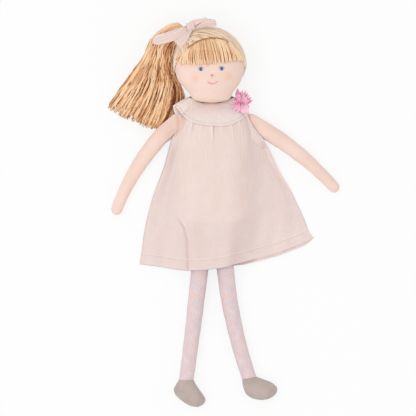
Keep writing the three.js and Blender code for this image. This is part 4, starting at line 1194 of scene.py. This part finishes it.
def dress_places():
    """Where the front of the dress lies, seen from above: the bodice rows and then the skirt's."""
    hole = int(0.13 * COLUMNS)
    under = spline(YOKE_EDGE, 600)
    between = (under[:, 0] > LEFT_ARMHOLE[-1][0]) & (under[:, 0] < RIGHT_ARMHOLE[0][0])
    under = spline((under[between] + [0, 2.0])[::20], COLUMNS - 2 * hole)
    top = np.vstack([spline(LEFT_ARMHOLE, hole + 1)[:-1], under, spline(RIGHT_ARMHOLE, hole + 1)[1:]])
    waist = np.linspace(LEFT_SIDE[-1], RIGHT_SIDE[-1], COLUMNS)
    upper = coons(top, waist, spline(LEFT_SIDE, BODICE_ROWS), spline(RIGHT_SIDE, BODICE_ROWS))
    hem = spline(HEM, 400)
    hem = resample(hem, hem[:, 0], np.linspace(HEM[0][0], HEM[-1][0], COLUMNS))
    lower = coons(waist, hem, spline(LEFT_SKIRT, SKIRT_ROWS), spline(RIGHT_SKIRT, SKIRT_ROWS))
    return np.vstack([upper, lower[1:]])


def drape(x, y):
    """The height of the cloth: it lies on the torso and the legs and falls to the floor at each side."""
    belly = -TORSO_HALF[1] / 4
    fall = smooth((belly - y) / (belly - HEM_LOW))
    crest = mix(torso_front(0, np.maximum(y, belly)), OVER_LEGS, fall)
    narrowing = smooth((HIP_Y + 8 - y) / (HIP_Y - HEM_LOW))
    reach = mix(torso_edge(np.maximum(y, belly)), LEG_X + 15.8, narrowing)
    tent = 1.2 + (crest - 0.8) / (1 + (np.abs(x) / (1.05 * reach)) ** 5)
    return np.maximum(tent, np.where(torso_swell(x, y) > 0, torso_front(x, y) + CLOTH_GAP, 0))


# Open pleats under the yoke: where each starts, how far it leans on its way down, and its depth
PLEATS = [
    (-17.6, -2.4, 1.0), (0.0, 0.2, 1.7), (17.0, 2.6, 0.8),
    (-9.6, -0.8, 0.4), (8.6, 0.8, 0.35), (24.6, 3.0, 0.5),
]
# The long crease beside the doll's right leg
CREASE_Y = [-98, -92, -69, -58, -52, -40]
CREASE_X = [-22.4, -22.6, -23.6, -26.2, -30.2, -36]


def pleat_gaps(x, down):
    """How far each place is from every pleat, and the pleat's depth."""
    return [(x - start - lean * down / 12, depth) for start, lean, depth in PLEATS]


def crease_gap(x, y):
    """How far a place is from the long crease."""
    return x - np.interp(y, CREASE_Y, CREASE_X)


def crease_share(y):
    """How much of that crease there is: none above the hips."""
    return smooth((-46 - y) / 10)


def pleat_rise(x, down):
    rise = 0.0 * x
    for gap, depth in pleat_gaps(x, down):
        fold = np.where(gap < 0, bell(gap, 2.4), -0.3 * bell(gap, 1.5))
        rise += depth * fold * np.exp(-down / 12) * smooth((down + 1) / 3) * smooth((26 - down) / 10)
    return rise + 0.16 * np.sin(2.1 * x + 0.8 * np.sin(0.08 * down)) * np.exp(-down / 36)


def dress_shade(x, y, down):
    """Painted shade where folds lie in their own shade, below the torso and along the top edge, and painted
    light, below 0, on the pleats' ridges.
    """
    # Painted shade in the long crease beside the right leg
    shade = 0.34 * bell(crease_gap(x, y) + 1.2, 1.0) * crease_share(y)
    fade = np.exp(-down / 11) * smooth((down - 1) / 3) * smooth((20 - down) / 8)
    # Painted shade beside the step of each pleat, and painted light on its ridge
    for gap, depth in pleat_gaps(x, down):
        shade += depth * (0.2 * bell(gap - 0.9, 0.8) - 0.6 * bell(gap + 1.0, 0.9)) * fade
    # Below the torso the cloth is darker: painted shade past the torso's lower edge, in streaks where the
    # legs are behind the thin cloth
    corner = 5 * smooth((np.abs(x - 1) - 16) / 14)
    legs = (0.1 + 0.05 * np.cos(0.18 * (x + 12))) * (1 - smooth((np.abs(x - 2) - 24) / 14))
    shade += legs * smooth((corner - 49.5 - y) / 6)
    # Painted shade along the top edge, under the yoke and at the armholes
    return np.clip(shade + 0.3 * smooth((3.4 - down) / 2), -0.8, 0.8)


def wrinkles(x, y):
    """Slight unevenness of cloth that was folded and worn."""
    waves = np.random.default_rng(5)
    rise = 0.0 * x
    for _ in range(14):
        turn, rate = waves.uniform(0, math.pi), waves.uniform(0.12, 0.5)
        way = x * math.cos(turn) + y * math.sin(turn)
        rise += 0.09 / rate**0.5 * np.sin(rate * way + waves.uniform(0, 6.3))
    return 0.45 * rise


def skirt_folds(x, y, down):
    """Long soft folds that open towards the hem, and the crease beside the right leg."""
    folds = 0.7 * np.sin(0.21 * x + 0.5) + 0.5 * np.sin(0.37 * x + 1.3 + 0.01 * down)
    gap = crease_gap(x, y)
    crease = np.where(gap < 0, -1.0 * bell(gap, 2.2), 1.2 * bell(gap, 2.0))
    return folds * smooth((down - 40) / 100) + crease * crease_share(y)


def side_seam(d):
    """How high the side seams are: half way up the torso at the underarm, and on the floor further down."""
    return 8.0 * smooth(1 - d / 0.5)


# The flaps of the skirt, named for the doll's own left and right. For each: its columns, the leg it follows,
# two places on the line that stays with the torso, and a place that moves fully
FLAPS = {
    "skirt_outer_right": (
        slice(0, INNER_RIGHT), "right_leg", (-30, WAIST_Y), (-56, -92.4), (-12.3, WAIST_Y)),
    "skirt_inner_right": (
        slice(INNER_RIGHT, CENTRE), "right_leg", (-0.2, WAIST_Y), (-0.2, -95), (-2.6, WAIST_Y)),
    "skirt_inner_left": (
        slice(CENTRE, INNER_LEFT), "left_leg", (0.2, WAIST_Y), (0.2, -95), (2.6, WAIST_Y)),
    "skirt_outer_left": (
        slice(INNER_LEFT, None), "left_leg", (30, WAIST_Y), (62, -80.4), (12.3, WAIST_Y)),
}


def finish_gathered(obj, *nodes, body=None):
    """A gathered piece of the dress: it hides the solids it stands for and is attached to its body, where
    these are given.
    """
    declare(obj, "dress_linen", *nodes, body=body)


def add_dress(material):
    """The front of the dress, drawn as a bodice and four flaps; gives the height of its places."""
    place = dress_places()
    rows, cols = place.shape[:2]
    x, y = place[..., 0], place[..., 1]
    down = lengths(place)
    a = np.linspace(0, 1, cols)
    d = down / down[-1:]
    edge = smooth(np.minimum(a, 1 - a) / 0.08)
    # Beside each armhole the cloth lies over the root of the arm
    holes = np.vstack([spline(line, 60) for line in (LEFT_ARMHOLE, RIGHT_ARMHOLE)])
    gap = np.min(np.linalg.norm(place[:, :, None] - holes, axis=3), axis=2)
    closed = mix(1, edge, smooth(gap / 14) * smooth(d / 0.08))
    wing = np.maximum(smooth(1 - d / 0.2), smooth(1.35 - gap / 14))
    height = np.maximum(drape(x, y), WING_HEIGHT * wing) + 1.0
    hem = down[-1:] - down
    relief = pleat_rise(x, down) + skirt_folds(x, y, down) + 0.4 * smooth((HEM_TURN - hem) / 0.8)
    relief = relief + wrinkles(x, y) * smooth(down / 30)
    z = np.maximum(mix(1.4 + side_seam(d), height + relief, closed), 1.3)
    # Each armhole is bound, with stitches like the hem's
    bound = gap - ARMHOLE_STITCHES
    stitches = np.where(np.abs(bound) < np.abs(hem - HEM_TURN), bound, hem - HEM_TURN)
    looks = {"edge": stitches, "lining": smooth(torso_swell(x, y) * 4), "crease": dress_shade(x, y, down)}

    def piece(name, r, c):
        keep = np.zeros((rows - 1, cols - 1), bool)
        keep[r, c] = True
        return add_sheet(name, xyz(x, y, z), material, keep, **looks)

    waist = BODICE_ROWS - 1
    bodice = piece("dress_bodice", slice(0, waist), slice(None))
    finish_gathered(bodice, "dress_front_panel", body="torso")
    for name, (columns, leg, *places) in FLAPS.items():
        flap = piece(name, slice(waist, None), columns)
        first, last, full = (np.array([*p, 0.0]) * MM for p in places)
        way = unit(last - first)
        first + way * ((full - first) @ way)
        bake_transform(flap)
        finish_gathered(flap)
    return z


def add_back_panel(material, front_z):
    place = dress_places()
    rows, cols = place.shape[:2]
    a = np.linspace(0, 1, cols)
    d = np.linspace(0, 1, rows)[:, None]
    x, y = place[..., 0].copy(), place[..., 1].copy()
    drop = 2.2 * smooth((a - 0.5) / 0.12) * smooth((1 - a) / 0.06) + 0.6
    y -= drop * smooth((d - 0.6) / 0.4)
    x += 0.6 * np.sign(a - 0.5) * smooth((np.abs(a - 0.5) - 0.4) / 0.1)
    # Its upper corner on the doll's left stays under the torso
    corner = bell(a - 0.88, 0.07) * (1 - smooth(d / 0.25))
    x -= 8 * corner
    y -= 6 * corner
    z = 0.3 + 0.25 * (1 + np.sin(0.3 * x + 0.05 * y)) * smooth(d / 0.4)
    z = z + side_seam(d) * (1 - smooth(np.minimum(a, 1 - a) / 0.1))
    # Its hem rises to just under the front's
    lift = 2.6 * smooth((a - 0.5) / 0.12) * smooth((1 - a) / 0.1) * smooth((d - 0.88) / 0.12)
    z = np.minimum(z + lift, np.maximum(front_z - 0.9, z))
    down = lengths(place)
    hem = down[-1:] - down
    obj = add_sheet("dress_back", xyz(x, y, z), material, edge=hem - HEM_TURN, lining=0.9)
    declare(obj, "dress_linen", "dress_back_panel", body="torso")


# Flower

FLOWER = np.array([25.8, 57.4, 17.6])
# Petals: where each starts and ends from the heart, width, how far its edges fold up, and tone
POINTED_PETALS = [
    ((-2.6, 0.6, 1.0), (-3.4, 12.9, 2.2), 6.0, 0.6, -0.1),
    ((0.2, 0, 1.4), (1.3, 11.4, 2.6), 3.8, 0.4, 0.05),
    ((1.4, 0, 1.2), (4.1, 11.0, 2.4), 3.8, 0.4, 0.0),
    ((2.4, -0.6, 1.4), (7.6, 6.8, 2.6), 3.8, 0.4, 0.1),
    ((3.2, -1.6, 1.2), (10.8, 2.2, 2.0), 3.6, 0.4, -0.15),
    ((1.4, -0.4, 0.8), (6.2, 9.0, 1.6), 3.4, 0.4, -0.1),
    ((2.6, -0.4, 0.8), (9.6, 4.8, 1.6), 3.2, 0.4, -0.1),
    ((0, 0, 0.8), (-0.4, 10.0, 1.6), 3.4, 0.4, -0.2),
    ((1.0, 0, 2.6), (2.8, 7.6, 4.0), 3.8, 0.5, 0.2),
    ((1.8, -0.4, 2.6), (5.4, 5.4, 4.0), 3.8, 0.5, 0.25),
    ((2.4, -1.4, 2.4), (7.4, 2.4, 3.4), 3.6, 0.5, 0.1),
    ((0.2, -0.6, 3.0), (1.0, 5.0, 4.6), 3.0, 0.5, 0.0),
]
ROUND_PETALS = [
    ((-2.2, 0.2, 2.4), (-2.8, 8.0, 4.0), 7.0, 1.3, 0.3),
    ((2.4, -0.8, 1.8), (3.3, -9.9, 3.4), 9.0, -0.12, 0.3),
    ((-4.4, -0.2, 1.6), (-6.5, -7.6, 2.6), 5.8, 1.0, 0.3),
    ((-1.7, -0.2, 2.2), (-3.0, -9.1, 3.4), 5.8, 1.1, 0.35),
    ((-1.0, 0, 0.8), (-8.0, -1.6, 1.4), 6.0, 0.4, 0.1),
    ((2.0, -1.6, 0.8), (7.2, -4.6, 1.4), 5.6, 0.2, 0.1),
    ((0, -1, 0.8), (0.2, -9.0, 1.4), 6.0, 0.3, -0.25),
    ((-1.6, 0.6, 0.6), (-5.6, 4.0, 1.2), 4.0, 0.4, -0.1),
]


def add_flower(material):
    t, v = np.linspace(0, 1, 15)[:, None], np.linspace(-1, 1, 13)
    pointed = np.interp(t, [0, 0.25, 0.55, 0.8, 1], [0.4, 0.8, 1, 0.62, 0.06])
    rounded = np.sqrt(np.maximum(0.01, 1 - np.maximum(0, (t - 0.55) / 0.45) ** 2)) * np.minimum(1, 0.45 + t)
    petals = [(pointed, *petal) for petal in POINTED_PETALS] + [(rounded, *petal) for petal in ROUND_PETALS]
    points, faces, tones = [], [], []
    for k, (shape, start, end, width, fold, tone) in enumerate(petals):
        start, end = np.array(start), np.array(end)
        way = unit((end - start) * [1, 1, 0])
        half = width / 2 * shape
        # A fold lengthwise lifts both edges of the petal and draws them together
        spread = v * half * (1 - 0.32 * min(abs(fold), 1.2))
        rise = fold * np.abs(v) ** 1.5 * half + 0.9 * np.sin(math.pi * t)
        line = FLOWER + start + times(t, end - start)
        points.append((line + times(spread, np.cross(UP, way)) + times(rise, UP)).reshape(-1, 3))
        faces += (grid_quads(*spread.shape) + k * spread.size).tolist()
        # Each petal is lighter at its folded-up edges as painted light, a little lighter towards its tip, and
        # darker near the heart as painted shade
        tones.append(0.42 + tone + 0.15 * t + 0.4 * np.abs(v) ** 2 - 0.25 * smooth(1 - 3 * t))
    points = np.vstack(points)
    obj = add_mesh("flower_petals", points, faces, material, points[np.ravel(faces), :2], tone=tones)
    solids = ["flower_backing", "flower_outer_petals", "flower_inner_petals", "flower_heart"]
    declare(obj, "petal_cloth", *solids, body="torso")


# Dark and light colour of each sewing thread
THREADS = {
    "white": ((214, 208, 214), (232, 224, 226)),
    "blue": ((96, 138, 176), (134, 168, 200)),
    "navy": ((54, 76, 110), (78, 102, 138)),
    "slate": ((112, 122, 140), (142, 150, 164)),
    "brown": ((158, 106, 46), (196, 146, 82)),
    "rose": ((218, 142, 136), (236, 172, 164)),
    "lip": ((230, 156, 150), (242, 184, 176)),
}

add_stage()
skin = skin_cloth("skin_cloth")
face = skin_cloth("face_cloth", [(head_point(x, y).tolist(), CHEEK_RADIUS) for x, y in CHEEKS])
linen = dress_linen("dress_linen", (233, 213, 208), (237, 214, 206))
# Painted light: the yoke, of the same linen as the dress, is given lighter colours
lit_yoke_linen = dress_linen("lit_yoke_linen", (238, 226, 222), (242, 230, 225))
stocking = stocking_cloth()
felt = shoe_felt()
blond = yarn("yarn", (148, 78, 34), (225, 168, 115), (253, 219, 180))
combed = yarn("yarn_combed", (192, 148, 112), (230, 200, 171), (250, 228, 204))
cut = yarn("yarn_cut", (184, 124, 78), (232, 184, 138), (254, 222, 184))
shaded = yarn("yarn_shaded", (146, 88, 46), (196, 144, 98), (224, 184, 142))
bow_ribbon = ribbon()
petals = petal_cloth()
fibre = filling_material()
threads = {name: thread_material(f"{name}_thread", *colours) for name, colours in THREADS.items()}
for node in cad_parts.values():
    node.data.materials.clear()
    node.data.materials.append(fibre)

add_head(face)
add_neck(skin)
add_face(threads)
add_hair(combed, shaded)
add_fringe(cut)
add_parting(threads["brown"])
add_ponytail(blond, shaded)
add_hair_tie(bow_ribbon)
add_bow(bow_ribbon)
add_torso(skin)
add_arm(1, "left", (28, 49), skin)
add_arm(-1, "right", (43, 71), skin)
for side, name in ((1, "left"), (-1, "right")):
    add_leg(side, name, stocking)
    add_shoe(side, name, felt)
add_yokes(lit_yoke_linen)
front_z = add_dress(linen)
add_back_panel(linen, front_z)
add_flower(petals)

bpy.context.scene.view_settings.view_transform = "Standard"
